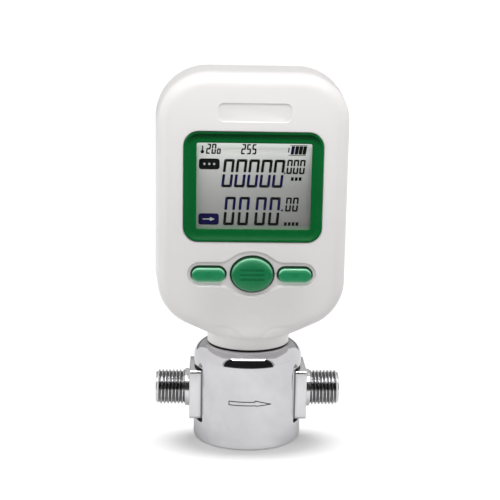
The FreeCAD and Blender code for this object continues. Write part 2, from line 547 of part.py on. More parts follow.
def ribbon(path, t, half_w, radius):
    """Constant-thickness strip along a bent centre line (y, z)."""
    n = len(path)
    segs = []
    prev = path[0]
    for i in range(1, n - 1):
        p, c, q = path[i - 1], path[i], path[i + 1]
        u = (c[0] - p[0], c[1] - p[1]); lu = math.hypot(*u); u = (u[0] / lu, u[1] / lu)
        w = (q[0] - c[0], q[1] - c[1]); lw = math.hypot(*w); w = (w[0] / lw, w[1] / lw)
        turn = math.acos(max(-1, min(1, u[0] * w[0] + u[1] * w[1])))
        d = radius * math.tan(turn / 2)
        a = (c[0] - u[0] * d, c[1] - u[1] * d)
        b = (c[0] + w[0] * d, c[1] + w[1] * d)
        side = 1 if u[0] * w[1] - u[1] * w[0] > 0 else -1
        o = (a[0] - side * u[1] * radius, a[1] + side * u[0] * radius)
        segs.append(("l", prev, a, u))
        segs.append(("a", a, b, o, side, u, w))
        prev = b
    last = path[-1]
    u = (last[0] - prev[0], last[1] - prev[1]); lu = math.hypot(*u); u = (u[0] / lu, u[1] / lu)
    segs.append(("l", prev, last, u))
    out = None
    for s in segs:
        if s[0] == "l":
            _, a, b, u = s
            nx, nz = -u[1] * t / 2, u[0] * t / 2
            pts = [V(-half_w, a[0] + nx, a[1] + nz), V(-half_w, b[0] + nx, b[1] + nz), V(-half_w, b[0] - nx, b[1] - nz), V(-half_w, a[0] - nx, a[1] - nz)]
            solid = Part.Face(Part.makePolygon(pts + [pts[0]])).extrude(V(2 * half_w, 0, 0))
        else:
            _, a, b, o, side, u, w = s
            r = math.hypot(a[0] - o[0], a[1] - o[1])
            a0 = math.atan2(a[1] - o[1], a[0] - o[0])
            a1 = math.atan2(b[1] - o[1], b[0] - o[0])
            dlt = (a1 - a0 + math.pi) % (2 * math.pi) - math.pi
            pt = lambda rad, ang: V(-half_w, o[0] + rad * math.cos(ang), o[1] + rad * math.sin(ang))
            ro, ri = r + t / 2, r - t / 2
            es = [Part.Arc(pt(ro, a0), pt(ro, a0 + dlt / 2), pt(ro, a1)).toShape(),
                  Part.LineSegment(pt(ro, a1), pt(ri, a1)).toShape(),
                  Part.Arc(pt(ri, a1), pt(ri, a0 + dlt / 2), pt(ri, a0)).toShape(),
                  Part.LineSegment(pt(ri, a0), pt(ro, a0)).toShape()]
            solid = Part.Face(Part.Wire(es)).extrude(V(2 * half_w, 0, 0))
        out = solid if out is None else out.fuse(solid)
    return out.removeSplitter()


sensor_cable = ribbon(PATH, CABLE_T, CABLE_HALF_W, 6.5)

# ------------------------------------------------------------- bottom plate
plate_disc = cylz(BASE_R - BASE_WALL - 0.15, 0.5, 2.4)
for s in (-1, 1):
    plate_disc = plate_disc.fuse(cylz(3.1, 2.4, BAR_Z0, s * PLATE_SCREW_X, 0))
    plate_disc = plate_disc.cut(cylz(1.65, 0, BAR_Z0 + 1, s * PLATE_SCREW_X, 0))
    plate_disc = plate_disc.cut(cone(3.05, 1.65, 1.5, V(s * PLATE_SCREW_X, 0, 0.5), V(0, 0, 1)))
bottom_plate = plate_disc


def csk_screw(x):
    head = cone(2.85, 1.5, 1.4, V(x, 0, 0.6), V(0, 0, 1))
    shank = cylz(1.23, 1.9, 12.6, x, 0)
    slot = fuse(box(x - 1.6, x + 1.6, -0.3, 0.3, 0.0, 1.3), box(x - 0.3, x + 0.3, -1.6, 1.6, 0.0, 1.3))
    return head.fuse(shank).cut(slot)


base_screws = Part.makeCompound([csk_screw(-PLATE_SCREW_X), csk_screw(PLATE_SCREW_X)])

# ------------------------------------------------------------------- export
NODES = {
    "front_cover": front_cover, "rear_cover": rear_cover, "display_bezel": display_bezel,
    "display_window": display_window, "lcd_panel": lcd_panel, "backlight": backlight,
    "contact_strips": contact_strips, "main_board": main_board, "board_screws": board_screws,
    "controller_chip": controller_chip, "board_connector": board_connector,
    "left_switch": left_switch, "function_switch": function_switch, "right_switch": right_switch,
    "left_button": left_button, "function_button": function_button, "right_button": right_button,
    "battery_1": battery_1, "battery_2": battery_2, "battery_3": battery_3,
    "contact_springs": contact_springs, "contact_plates": contact_plates,
    "battery_door": battery_door, "door_screw": door_screw, "case_screws": case_screws,
    "neck_gasket": neck_gasket, "neck_post": neck_post, "neck_screws": neck_screws,
    "base_cover": base_cover, "flow_body": flow_body, "inlet_screen": inlet_screen,
    "outlet_screen": outlet_screen, "screen_rings": screen_rings, "sensor_plug": sensor_plug,
    "sensor_seal": sensor_seal, "sensor_board": sensor_board, "sensor_connector": sensor_connector,
    "sensor_screws": sensor_screws, "sensor_cable": sensor_cable, "bottom_plate": bottom_plate,
    "base_screws": base_screws,
}

os.makedirs("parts", exist_ok=True)
for name, shape in NODES.items():
    solids = len(shape.Solids)
    print("%-18s solids %d valid %s volume %.1f" % (name, solids, shape.isValid(), shape.Volume))
    shape.exportStep("parts/%s.step" % name)
print("nodes", len(NODES))
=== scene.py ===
import math

import bmesh
import bpy
import numpy as np
from mathutils import Matrix, Vector


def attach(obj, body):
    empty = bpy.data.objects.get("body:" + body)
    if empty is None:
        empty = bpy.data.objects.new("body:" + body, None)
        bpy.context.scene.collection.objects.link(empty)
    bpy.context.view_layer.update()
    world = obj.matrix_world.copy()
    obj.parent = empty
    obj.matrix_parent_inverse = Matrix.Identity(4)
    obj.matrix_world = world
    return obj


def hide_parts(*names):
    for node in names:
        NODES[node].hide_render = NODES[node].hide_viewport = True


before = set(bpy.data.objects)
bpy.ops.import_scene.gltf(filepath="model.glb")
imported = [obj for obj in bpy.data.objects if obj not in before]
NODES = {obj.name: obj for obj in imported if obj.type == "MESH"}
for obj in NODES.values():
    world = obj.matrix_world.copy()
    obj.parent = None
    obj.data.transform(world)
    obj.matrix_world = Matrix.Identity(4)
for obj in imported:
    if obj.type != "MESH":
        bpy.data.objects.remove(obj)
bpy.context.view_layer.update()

MM = 0.001

# ------------------------------------------------------------------ numbers
# the same driving sizes as the solid model, in millimetres
BASE_R, BASE_H, BASE_FILLET, BASE_WALL = 20.5, 36.5, 5.4, 2.0
WINDOW_HALF_Y, WINDOW_Z0, WINDOW_Z1, WINDOW_R = 11.2, 7.2, 28.4, 1.0
AXIS_Z = 17.85
BAR_X, BAR_Y, BAR_Z0, BAR_Z1 = 22.15, 10.0, 8.40, 27.20
BAR_RELIEF_Y, BAR_RELIEF_X = 9.3, 17.85
COLLAR_R, COLLAR_X1, THREAD_R, PORT_X1 = 7.1, 23.9, 6.5785, 35.0
PITCH = 1.337
BORE_R, BORE_STEP_X, BORE_INNER_R = 4.6, 15.0, 3.5
NECK_R, NECK_Z0, WALL = 15.5, 37.05, 2.2
FACE_Y, BACK_Y = -24.0, 22.0
TOP_CORNER = (16.3, 121.4, 19.0)
LOW_CORNER = (16.1, 64.6, 19.2)
LOW_SLOPE = math.radians(24.0)
LOW_ARC_R = 43.0
DRAFT = math.radians(4.8)
BEZEL = (0.0, 98.8, 48.9, 38.8, 5.2)
LENS = (0.275, 98.9, 40.45, 30.6)
PILL = (0.2, 124.85, 25.5, 6.4)
BTN_X, BTN_Z, BTN_W, BTN_H = 15.4, 67.5, 12.3, 5.5
OVAL = (0.2, 67.6, 8.05, 6.45)
CASE_SCREWS = ((-22.0, 131.5), (22.0, 131.5), (-23.5, 55.2), (23.5, 55.2))
BOARD_HOLES = ((-27.5, 74.5), (27.5, 74.5), (-27.5, 123.0), (27.5, 123.0))


# ------------------------------------------------------------------ camera
def camera():
    f, pitch, roll, yaw = 1100.0, math.radians(11.263), math.radians(1.003), math.radians(2.30)
    cx, dist, cz = 0.20, 414.3, 71.71
    fwd = np.array([0, math.cos(pitch), -math.sin(pitch)])
    right = np.array([1.0, 0, 0])
    up = np.cross(right, fwd)
    loc = np.array([cx, 0, cz]) - fwd * dist
    c, s = math.cos(-yaw), math.sin(-yaw)
    turn = np.array([[c, -s, 0], [s, c, 0], [0, 0, 1]])
    loc, fwd, right, up = turn @ loc, turn @ fwd, turn @ right, turn @ up
    cr, sr = math.cos(roll), math.sin(roll)
    r2 = cr * right + sr * up
    u2 = cr * up - sr * right
    cam = bpy.data.cameras.new("camera")
    cam.sensor_width = 36.0
    cam.sensor_fit = "HORIZONTAL"
    cam.lens = f / 500.0 * 36.0
    cam.clip_start, cam.clip_end = 0.01, 20.0
    ob = bpy.data.objects.new("camera", cam)
    m = Matrix.Identity(4)
    for i in range(3):
        m[i][0], m[i][1], m[i][2], m[i][3] = r2[i], u2[i], -fwd[i], loc[i] * MM
    ob.matrix_world = m
    bpy.context.scene.collection.objects.link(ob)
    bpy.context.scene.camera = ob
    return ob


camera()

# --------------------------------------------------------------- mesh tools


def new_object(name, verts_mm, faces, smooth=True):
    me = bpy.data.meshes.new(name)
    me.from_pydata([tuple(c * MM for c in v) for v in verts_mm], [], faces)
    me.update()
    if smooth:
        me.shade_smooth()
    ob = bpy.data.objects.new(name, me)
    bpy.context.scene.collection.objects.link(ob)
    return ob


def fix_normals(ob):
    bm = bmesh.new()
    bm.from_mesh(ob.data)
    bmesh.ops.recalc_face_normals(bm, faces=bm.faces)
    bm.to_mesh(ob.data)
    bm.free()
    return ob


def boolean(ob, cutter, op="DIFFERENCE", keep=False, solver="MANIFOLD"):
    m = ob.modifiers.new("b", "BOOLEAN")
    m.operation = op
    m.object = cutter
    m.solver = solver
    apply_modifiers(ob)
    if not keep:
        me = cutter.data
        bpy.data.objects.remove(cutter)
        bpy.data.meshes.remove(me)
    return ob


def apply_modifiers(ob):
    dg = bpy.context.evaluated_depsgraph_get()
    dg.update()
    me = bpy.data.meshes.new_from_object(ob.evaluated_get(dg))
    old = ob.data
    ob.modifiers.clear()
    ob.data = me
    me.name = ob.name
    bpy.data.meshes.remove(old)


def sharp_by_angle(ob, degrees=32.0):
    me = ob.data
    me.shade_smooth()
    bm = bmesh.new()
    bm.from_mesh(me)
    lim = math.radians(degrees)
    for e in bm.edges:
        e.smooth = len(e.link_faces) == 2 and e.calc_face_angle(0.0) < lim
    bm.to_mesh(me)
    bm.free()


def rings_to_solid(name, rings, close_caps=True, loop=False):
    """Closed loops of equal count, joined in order; ends capped or joined."""
    n = len(rings[0])
    verts = [p for r in rings for p in r]
    faces = []
    m = len(rings)
    for i in range(m if loop else m - 1):
        a, b = i * n, ((i + 1) % m) * n
        for j in range(n):
            k = (j + 1) % n
            faces.append((a + j, a + k, b + k, b + j))
    if close_caps and not loop:
        faces.append(tuple(reversed(range(n))))
        faces.append(tuple(range((m - 1) * n, m * n)))
    return fix_normals(new_object(name, verts, faces))


def rrect_loop(cx, cz, w, h, r, y, arc=12, side=6):
    """Rounded rectangle in the XZ plane, at depth y."""
    pts = []
    r = max(r, 1e-3)
    corners = ((cx + w / 2 - r, cz + h / 2 - r, 0), (cx - w / 2 + r, cz + h / 2 - r, 90),
               (cx - w / 2 + r, cz - h / 2 + r, 180), (cx + w / 2 - r, cz - h / 2 + r, 270))
    for i, (x, z, a0) in enumerate(corners):
        arcpts = [(x + r * math.cos(math.radians(a0 + 90 * k / arc)), z + r * math.sin(math.radians(a0 + 90 * k / arc)))
                  for k in range(arc + 1)]
        pts += arcpts
        nx, nz, a1 = corners[(i + 1) % 4]
        q = (nx + r * math.cos(math.radians(a1)), nz + r * math.sin(math.radians(a1)))
        p = arcpts[-1]
        for k in range(1, side):
            t = k / side
            pts.append((p[0] + (q[0] - p[0]) * t, p[1] + (q[1] - p[1]) * t))
    return [(x, y, z) for x, z in pts]


def ellipse_loop(cx, cz, a, b, y, n=144):
    return [(cx + a * math.cos(2 * math.pi * k / n), y, cz + b * math.sin(2 * math.pi * k / n)) for k in range(n)]


def cyl_cutter(name, r, axis, c, a, b, n=96):
    """Plain cylinder along an axis, used only to cut."""
    rings = []
    for t in (a, b):
        ring = []
        for k in range(n):
            u, v = r * math.cos(2 * math.pi * k / n), r * math.sin(2 * math.pi * k / n)
            if axis == "z":
                ring.append((c[0] + u, c[1] + v, t))
            elif axis == "y":
                ring.append((c[0] + u, t, c[1] + v))
            else:
                ring.append((t, c[0] + u, c[1] + v))
        rings.append(ring)
    return rings_to_solid(name, rings)


def box_cutter(name, x0, x1, y0, y1, z0, z1):
    r = [[(x0, y0, z0), (x1, y0, z0), (x1, y1, z0), (x0, y1, z0)],
         [(x0, y0, z1), (x1, y0, z1), (x1, y1, z1), (x0, y1, z1)]]
    return rings_to_solid(name, r)


def lathe(name, profile, n=288, axis="z", origin=(0, 0)):
    """Closed (r, t) profile turned about an axis; the profile loops round."""
    rings = []
    for r, t in profile:
        ring = []
        for k in range(n):
            a = 2 * math.pi * k / n
            u, v = r * math.cos(a), r * math.sin(a)
            ring.append((origin[0] + u, origin[1] + v, t) if axis == "z" else (t, origin[0] + u, origin[1] + v))
        rings.append(ring)
    return rings_to_solid(name, rings, loop=True)


# ---------------------------------------------------------- head as a field
_sa, _ca = math.sin(LOW_SLOPE), math.cos(LOW_SLOPE)
_zc = ((LOW_CORNER[1] - LOW_CORNER[2] * _ca)
       - (LOW_CORNER[0] + LOW_CORNER[2] * _sa - LOW_ARC_R * _sa) * math.tan(LOW_SLOPE) + LOW_ARC_R * _ca)
_T1 = (LOW_CORNER[0] + LOW_CORNER[2] * _sa, LOW_CORNER[1] - LOW_CORNER[2] * _ca)
_T2 = (LOW_ARC_R * _sa, _zc - LOW_ARC_R * _ca)


def outline_distance(x, z):
    """Signed distance to the head's outline in the XZ plane; it is convex and smooth."""
    ax = np.abs(x)
    best = np.full(x.shape, 1e9)
    out = np.zeros(x.shape)

    def offer(dist, signed):
        nonlocal best, out
        m = dist < best
        best = np.where(m, dist, best)
        out = np.where(m, signed, out)

    def arc(cx, cz, r, a0, a1):
        ang = np.degrees(np.arctan2(z - cz, ax - cx))
        s = np.hypot(ax - cx, z - cz) - r
        inside = (ang >= a0 - 1e-6) & (ang <= a1 + 1e-6)
        offer(np.where(inside, np.abs(s), 1e8), s)

    def seg(p, q):
        dx, dz = q[0] - p[0], q[1] - p[1]
        L = math.hypot(dx, dz)
        ux, uz = dx / L, dz / L
        t = (ax - p[0]) * ux + (z - p[1]) * uz
        s = (ax - p[0]) * uz - (z - p[1]) * ux
        offer(np.where((t >= -1e-6) & (t <= L + 1e-6), np.abs(s), 1e8), s)

    arc(0.0, _zc, LOW_ARC_R, -90.0, -90.0 + 24.0)
    seg(_T2, _T1)
    arc(LOW_CORNER[0], LOW_CORNER[1], LOW_CORNER[2], -66.0, 0.0)
    seg((LOW_CORNER[0] + LOW_CORNER[2], LOW_CORNER[1]), (TOP_CORNER[0] + TOP_CORNER[2], TOP_CORNER[1]))
    arc(TOP_CORNER[0], TOP_CORNER[1], TOP_CORNER[2], 0.0, 90.0)
    seg((TOP_CORNER[0], TOP_CORNER[1] + TOP_CORNER[2]), (0.0, TOP_CORNER[1] + TOP_CORNER[2]))
    return out


def outline_loop(e, y, arc=20):
    """The head's outline inset by e, as a closed loop at depth y."""
    cx, cz, r = LOW_CORNER
    tx, tz, tr = TOP_CORNER
    half = []
    for k in range(arc + 1):
        a = math.radians(90.0 - 90.0 * k / arc)
        half.append((tx + (tr - e) * math.cos(a), tz + (tr - e) * math.sin(a)))
    for k in range(1, 12):
        t = k / 12
        half.append((tx + tr - e + (cx + r - tx - tr) * t, tz + (cz - tz) * t))
    for k in range(arc + 1):
        a = math.radians(-66.0 * k / arc)
        half.append((cx + (r - e) * math.cos(a), cz + (r - e) * math.sin(a)))
    R = LOW_ARC_R - e
    for k in range(arc):
        a = math.radians(-66.0 - 24.0 * k / arc)
        half.append((R * math.cos(a), _zc + R * math.sin(a)))
    loop = half + [(0.0, _zc - R)] + [(-x, z) for x, z in reversed(half)]
    return [(x, y, z) for x, z in loop]


def smin(a, b, k):
    h = np.maximum(k - np.abs(a - b), 0.0) / k
    return np.minimum(a, b) - h * h * k * 0.25


def slab(x, y, z, inset, front_r, back_r):
    side = (outline_distance(x, z) + np.abs(y) * math.tan(DRAFT)) * math.cos(DRAFT) + inset
    cap_f = FACE_Y - y + inset
    cap_b = y - BACK_Y + inset

    def rounded(s, c, r):
        return np.hypot(np.maximum(s + r, 0), np.maximum(c + r, 0)) + np.minimum(np.maximum(s + r, c + r), 0) - r

    return np.where(y < 0, rounded(side, cap_f, front_r), rounded(side, cap_b, back_r))


def head_field(P):
    x, y, z = P[..., 0], P[..., 1], P[..., 2]
    head = slab(x, y, z, 0.0, 5.0, 4.2)
    # the chin: the face runs down in a soft tongue on to the neck
    tongue = np.hypot(x, z - 47.7) - 5.3
    front = (-23.7 + 0.32 * np.clip(50.0 - z, -2.0, 9.0) - y) * 0.95
    r = 2.5
    chin = np.hypot(np.maximum(tongue + r, 0), np.maximum(front + r, 0)) + np.minimum(np.maximum(tongue + r, front + r), 0) - r
    chin = np.maximum(chin, y + 9.0)
    neck = np.maximum(np.hypot(x, y) - NECK_R, z - 60.0)
    neck = np.maximum(neck, NECK_Z0 - 1.5 - z)
    d = smin(head, neck, 3.6)
    d = smin(d, chin, 1.0)
    # a soft crease follows the face's lower edge and the tongue
    ax = np.abs(x)
    edge = 47.9 - 5.7 * np.exp(-(ax / 5.2) ** 2.6) + 0.34 * np.maximum(ax - 15.0, 0.0)
    lean = 5.7 * 2.6 / 5.2 * (ax / 5.2) ** 1.6 * np.exp(-(ax / 5.2) ** 2.6)
    off = (z - edge) / np.sqrt(1.0 + lean * lean)
    hold = np.clip((17.0 - ax) / 6.0, 0.0, 1.0) * np.clip((-8.0 - y) / 3.0, 0.0, 1.0)
    return d + hold * (0.30 * np.exp(-((off + 0.1) / 0.75) ** 2) - 0.10 * np.exp(-((off + 2.4) / 1.3) ** 2))


def inner_field(P):
    x, y, z = P[..., 0], P[..., 1], P[..., 2]
    return slab(x, y, z, WALL, 2.8, 2.2)


def surface_nets(field, lo, hi, h, project=3):
    """Quad mesh of the zero level, its points pushed on to the true surface."""
    lo, hi = np.array(lo, float), np.array(hi, float)
    n = np.ceil((hi - lo) / h).astype(int) + 1
    ax = [lo[i] + h * np.arange(n[i]) for i in range(3)]
    G = np.stack(np.meshgrid(*ax, indexing="ij"), -1)
    F = field(G)
    S = F < 0
    shp = tuple(n - 1)
    acc = np.zeros(shp + (3,))
    cnt = np.zeros(shp)
    for a in range(3):
        o = [i for i in range(3) if i != a]
        for d0 in (0, 1):
            for d1 in (0, 1):
                sl0 = [slice(0, None)] * 3
                sl1 = [slice(0, None)] * 3
                for i in range(3):
                    off = 0 if i == a else (d0 if i == o[0] else d1)
                    sl0[i] = slice(off, off + shp[i])
                    sl1[i] = slice(off + (1 if i == a else 0), off + (1 if i == a else 0) + shp[i])
                f0, f1 = F[tuple(sl0)], F[tuple(sl1)]
                cross = (f0 < 0) != (f1 < 0)
                t = np.where(cross, f0 / np.where(cross, f0 - f1, 1.0), 0.0)
                off = np.zeros(3)
                off[o[0]], off[o[1]] = d0, d1
                pos = np.zeros(shp + (3,)) + off
                pos[..., a] += t
                acc += np.where(cross[..., None], pos, 0.0)
                cnt += cross
    act = cnt > 0
    idx = -np.ones(shp, int)
    idx[act] = np.arange(act.sum())
    base = np.argwhere(act)
    pts = lo + h * (base + acc[act] / cnt[act][:, None])
    faces = []
    for a in range(3):
        o1, o2 = (a + 1) % 3, (a + 2) % 3
        f0 = [slice(None)] * 3
        f1 = [slice(None)] * 3
        f0[a], f1[a] = slice(0, n[a] - 1), slice(1, n[a])
        s0, s1 = S[tuple(f0)], S[tuple(f1)]
        for sign, mask in ((0, s0 & ~s1), (1, ~s0 & s1)):
            e = np.argwhere(mask)
            e = e[(e[:, o1] > 0) & (e[:, o2] > 0) & (e[:, o1] < n[o1] - 1) & (e[:, o2] < n[o2] - 1)]
            d1 = np.zeros(3, int); d1[o1] = 1
            d2 = np.zeros(3, int); d2[o2] = 1
            q = [e - d1 - d2, e - d2, e, e - d1]
            ids = np.stack([idx[tuple(c.T)] for c in q], 1)
            faces.append(ids if sign == 0 else ids[:, ::-1])
    faces = np.concatenate(faces)
    for _ in range(project):
        f = field(pts)
        g = gradient(field, pts)
        pts = pts - g * (f / np.maximum((g * g).sum(1), 1e-6))[:, None]
    return pts, faces


def gradient(field, pts, e=0.02):
    g = np.zeros(pts.shape)
    for i in range(3):
        d = np.zeros(3)
        d[i] = e
        g[:, i] = (field(pts + d) - field(pts - d)) / (2 * e)
    return g


def analytic_normals(ob, normal_at, tol_deg=14.0, accept=None):
    """Gives each corner on a known smooth surface that surface's own normal."""
    me = ob.data
    n = len(me.loops)
    vi = np.zeros(n, int)
    me.loops.foreach_get("vertex_index", vi)
    co = np.zeros(len(me.vertices) * 3)
    me.vertices.foreach_get("co", co)
    co = co.reshape(-1, 3) / MM
    base = np.zeros(n * 3)
    me.corner_normals.foreach_get("vector", base)
    base = base.reshape(-1, 3)
    fn = np.zeros(len(me.polygons) * 3)
    me.polygons.foreach_get("normal", fn)
    fn = fn.reshape(-1, 3)
    tot = np.zeros(len(me.polygons), int)
    me.polygons.foreach_get("loop_total", tot)
    lf = np.repeat(np.arange(len(me.polygons)), tot)
    P = co[vi]
    want, ok = normal_at(P, fn[lf])
    ln = np.linalg.norm(want, axis=1)
    want = want / np.maximum(ln, 1e-9)[:, None]
    dot = (want * fn[lf]).sum(1)
    use = ok & (dot > math.cos(math.radians(tol_deg))) & (ln > 1e-6)
    out = np.where(use[:, None], want, base)
    me.normals_split_custom_set(out.tolist())


def head_shells():
    h = 0.8
    pts, faces = surface_nets(head_field, (-38.1, -27.1, 33.0), (38.1, 25.1, 143.6), h)
    whole = fix_normals(new_object("head_whole", pts.tolist(), faces.tolist()))
    ipts, ifaces = surface_nets(inner_field, (-36.1, -25.1, 38.0), (36.1, 23.1, 141.6), 1.6, project=2)
    inner = fix_normals(new_object("head_inner", ipts.tolist(), ifaces.tolist()))
    bore = cyl_cutter("neck_bore", NECK_R - WALL, "z", (0, 0), 30.0, 52.0, 128)
    inner = boolean(inner, bore, "UNION")
    whole = boolean(whole, box_cutter("below", -40, 40, -40, 40, 20, NECK_Z0), "DIFFERENCE")
    whole = boolean(whole, inner, "DIFFERENCE")
    out = []
    for name, y0, y1 in (("front_shell", -40, 0.0), ("rear_shell", 0.0, 40)):
        half = whole.copy()
        half.data = whole.data.copy()
        half.name = name
        bpy.context.scene.collection.objects.link(half)
        half = boolean(half, box_cutter("half", -60, 60, y0, y1, 10, 180), "INTERSECT")
        out.append(half)
    me = whole.data
    bpy.data.objects.remove(whole)
    bpy.data.meshes.remove(me)
    return out


def head_normal_at(P, F):
    g = gradient(head_field, P)
    ok = np.abs(head_field(P)) < 0.06
    return g, ok


# ------------------------------------------------------- recess outlines
def recess_loop(y, grow, n_arc=20):
    """Outline of the button panel: a long stadium with an ellipse through it."""
    W, H = 45.6 / 2 + grow, 8.7 / 2 + grow
    A, B = 10.2 + grow, 8.3 + grow
    cz = BTN_Z
    pts = []
    n = 720
    # implicit union with a soft join, read off along rays from the centre
    ang = np.linspace(0, 2 * np.pi, n, endpoint=False)
    r_lo, r_hi = np.zeros(n), np.full(n, 40.0)

    def fld(r):
        x, z = r * np.cos(ang), r * np.sin(ang)
        qx = np.maximum(np.abs(x) - (W - H), 0)
        s = np.hypot(qx, z) - H
        k = np.hypot(x / A, (z - 0.1) / B)
        g = np.hypot(x / A ** 2, (z - 0.1) / B ** 2)
        e = k * (k - 1) / np.maximum(g, 1e-6)
        return smin(s, e, 2.2)
    for _ in range(60):
        mid = (r_lo + r_hi) / 2
        v = fld(mid)
        r_lo = np.where(v < 0, mid, r_lo)
        r_hi = np.where(v < 0, r_hi, mid)
    r = (r_lo + r_hi) / 2
    return [(float(rr * math.cos(a)) + 0.0, y, float(rr * math.sin(a)) + cz) for rr, a in zip(r, ang)]


# ------------------------------------------------------------ build the head
front, rear = head_shells()

# neck rib that the post's flanges hold, in both halves
for half, y0, y1 in ((front, -20.0, 0.0), (rear, 0.0, 20.0)):
    rib = lathe("rib", [(8.4, 42.2), (NECK_R - WALL + 0.3, 42.2), (NECK_R - WALL + 0.3, 44.7), (8.4, 44.7)], 96)
    rib = boolean(rib, box_cutter("k", -20, 20, y0, y1, 40, 50), "INTERSECT")
    boolean(half, rib, "UNION")
# fine seam line where the halves meet
for half in (front, rear):
    boolean(half, rings_to_solid("seam", [outline_loop(0.20, -0.11), outline_loop(-3.0, -0.11), outline_loop(-3.0, 0.11), outline_loop(0.20, 0.11)], loop=True))
    for sx in (-1, 1):
        a, b = sorted((sx * (NECK_R - 0.18), sx * (NECK_R + 3.0)))
        boolean(half, box_cutter("seam", a, b, -0.11, 0.11, NECK_Z0 - 1, 44.5))
# joint lip on the front half, its groove in the rear half
boolean(front, boolean(rings_to_solid("lip", [outline_loop(1.15, -1.0), outline_loop(1.15, 1.5), outline_loop(2.35, 1.5), outline_loop(2.35, -1.0)], loop=True),
                       box_cutter("k", -17.5, 17.5, -3, 3, 30, 52)), "UNION")
boolean(rear, boolean(rings_to_solid("groove", [outline_loop(1.0, -0.5), outline_loop(1.0, 1.7), outline_loop(2.5, 1.7), outline_loop(2.5, -0.5)], loop=True),
                      box_cutter("k", -17.2, 17.2, -3, 3, 30, 52)))
# bosses behind the face for the case screws and the board
for x, z in CASE_SCREWS:
    boolean(front, cyl_cutter("boss", 3.0, "y", (x, z), FACE_Y + 1.5, -0.02, 48), "UNION")
    boolean(front, cyl_cutter("hole", 1.3, "y", (x, z), -13.0, 1.0, 32))
for x, z in BOARD_HOLES:
    boolean(front, cyl_cutter("boss", 2.2, "y", (x, z), FACE_Y + 1.5, -14.52, 40), "UNION")
    boolean(front, cyl_cutter("hole", 1.0, "y", (x, z), -20.5, -13.5, 24))

# display opening, with a small chamfer at its rim
front = boolean(front, rings_to_solid("c", [rrect_loop(BEZEL[0], BEZEL[1], BEZEL[2] + g, BEZEL[3] + g, BEZEL[4] + g / 2, y, 16, 8)
                                            for g, y in ((0.9, -30.0), (0.9, FACE_Y - 0.2), (0.10, FACE_Y + 0.25), (0.10, -15.0))]))
# button panel: soft sloping wall down to a flat floor
front = boolean(front, rings_to_solid("c", [recess_loop(y, g) for g, y in
                                            ((0.55, -30.0), (0.55, FACE_Y - 0.30), (0.30, FACE_Y), (0.12, FACE_Y + 0.10), (0.0, FACE_Y + 0.26),
                                             (-0.25, FACE_Y + 0.62), (-0.45, FACE_Y + 0.76), (-0.75, FACE_Y + 0.80))]))
# pill above the display
front = boolean(front, rings_to_solid("c", [rrect_loop(PILL[0], PILL[1], PILL[2] + g, PILL[3] + g, 2.0 + g / 2, y, 14, 8) for g, y in
                                            ((0.8, -30.0), (0.8, FACE_Y - 0.30), (0.34, FACE_Y), (0.10, FACE_Y + 0.07), (-0.02, FACE_Y + 0.25),
                                                             (-0.16, FACE_Y + 0.46), (-0.55, FACE_Y + 0.57))]))
for sx in (-1, 1):
    front = boolean(front, rings_to_solid("c", [rrect_loop(sx * BTN_X, BTN_Z, BTN_W + g, BTN_H + g, (BTN_H + g) / 2 - 0.01, y, 16, 6) for g, y in
                                                ((1.0, -30.0), (1.0, FACE_Y + 0.6), (0.6, FACE_Y + 1.0), (0.6, -15.0))]))
front = boolean(front, rings_to_solid("c", [ellipse_loop(OVAL[0], OVAL[1], OVAL[2] - 0.35 + g, OVAL[3] + g, y) for g, y in
                                            ((0.5, -30.0), (0.5, FACE_Y + 0.6), (0.3, FACE_Y + 1.0), (0.3, -15.0))]))
sharp_by_angle(front, 30)
analytic_normals(front, head_normal_at)

# rear: battery bay, door seat, screw towers and holes
rear = boolean(rear, box_cutter("bay", -24.4, 24.4, 2.8, BACK_Y - 1.2, 62.8, 119.8), "UNION")
rear = boolean(rear, cyl_cutter("t", 3.2, "y", (0.0, 122.6), 2.85, BACK_Y - 1.25, 48), "UNION")
rear = boolean(rear, box_cutter("bay", -22.8, 22.8, 4.4, 40.0, 64.4, 118.2))
door = [rrect_loop(0.0, 94.1, 49.7 + g, 64.3 + g, 3.2 + g / 2, y, 12, 6) for g, y in ((0.0, BACK_Y - 2.05), (0.0, BACK_Y - 0.2), (0.5, BACK_Y + 0.05), (0.5, 40.0))]
rear = boolean(rear, rings_to_solid("c", door))
for sx in (-1, 1):
    rear = boolean(rear, box_cutter("k", sx * 14 - 3.2, sx * 14 + 3.2, BACK_Y - 3.5, BACK_Y - 1.9, 59.6, 64.6))
for x, z in CASE_SCREWS:
    tower = cyl_cutter("t", 4.0, "y", (x, z), 0.02, BACK_Y - 1.5, 64)
    rear = boolean(rear, tower, "UNION")
    rear = boolean(rear, cyl_cutter("c", 1.6, "y", (x, z), -1.0, 12.0, 40))
    hole = [[(x + r * math.cos(2 * math.pi * k / 64), y, z + r * math.sin(2 * math.pi * k / 64)) for k in range(64)]
            for y, r in ((10.0, 2.95), (BACK_Y - 0.25, 2.95), (BACK_Y, 3.2), (40.0, 3.2))]
    rear = boolean(rear, rings_to_solid("c", hole))
rear = boolean(rear, cyl_cutter("c", 1.3, "y", (0.0, 122.6), 12.0, 40.0, 32))
sharp_by_angle(rear, 30)
analytic_normals(rear, head_normal_at)

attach(front, "housing")
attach(rear, "housing")
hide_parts("front_cover")
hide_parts("rear_cover")

# ------------------------------------------------------------------- bezel
bx, bz, bw, bh, br = BEZEL
lx, lz, lw, lh = LENS
def band(f):
    mixed = [a + (b - a) * f for a, b in zip((bx, bz, bw - 1.6, bh - 1.6, br - 0.8), (lx, lz, lw + 1.9, lh + 1.9, 1.6))]
    return rrect_loop(*mixed, FACE_Y - 0.44 + 1.24 * (1 - (1 - f) ** 2.0), 16, 10)


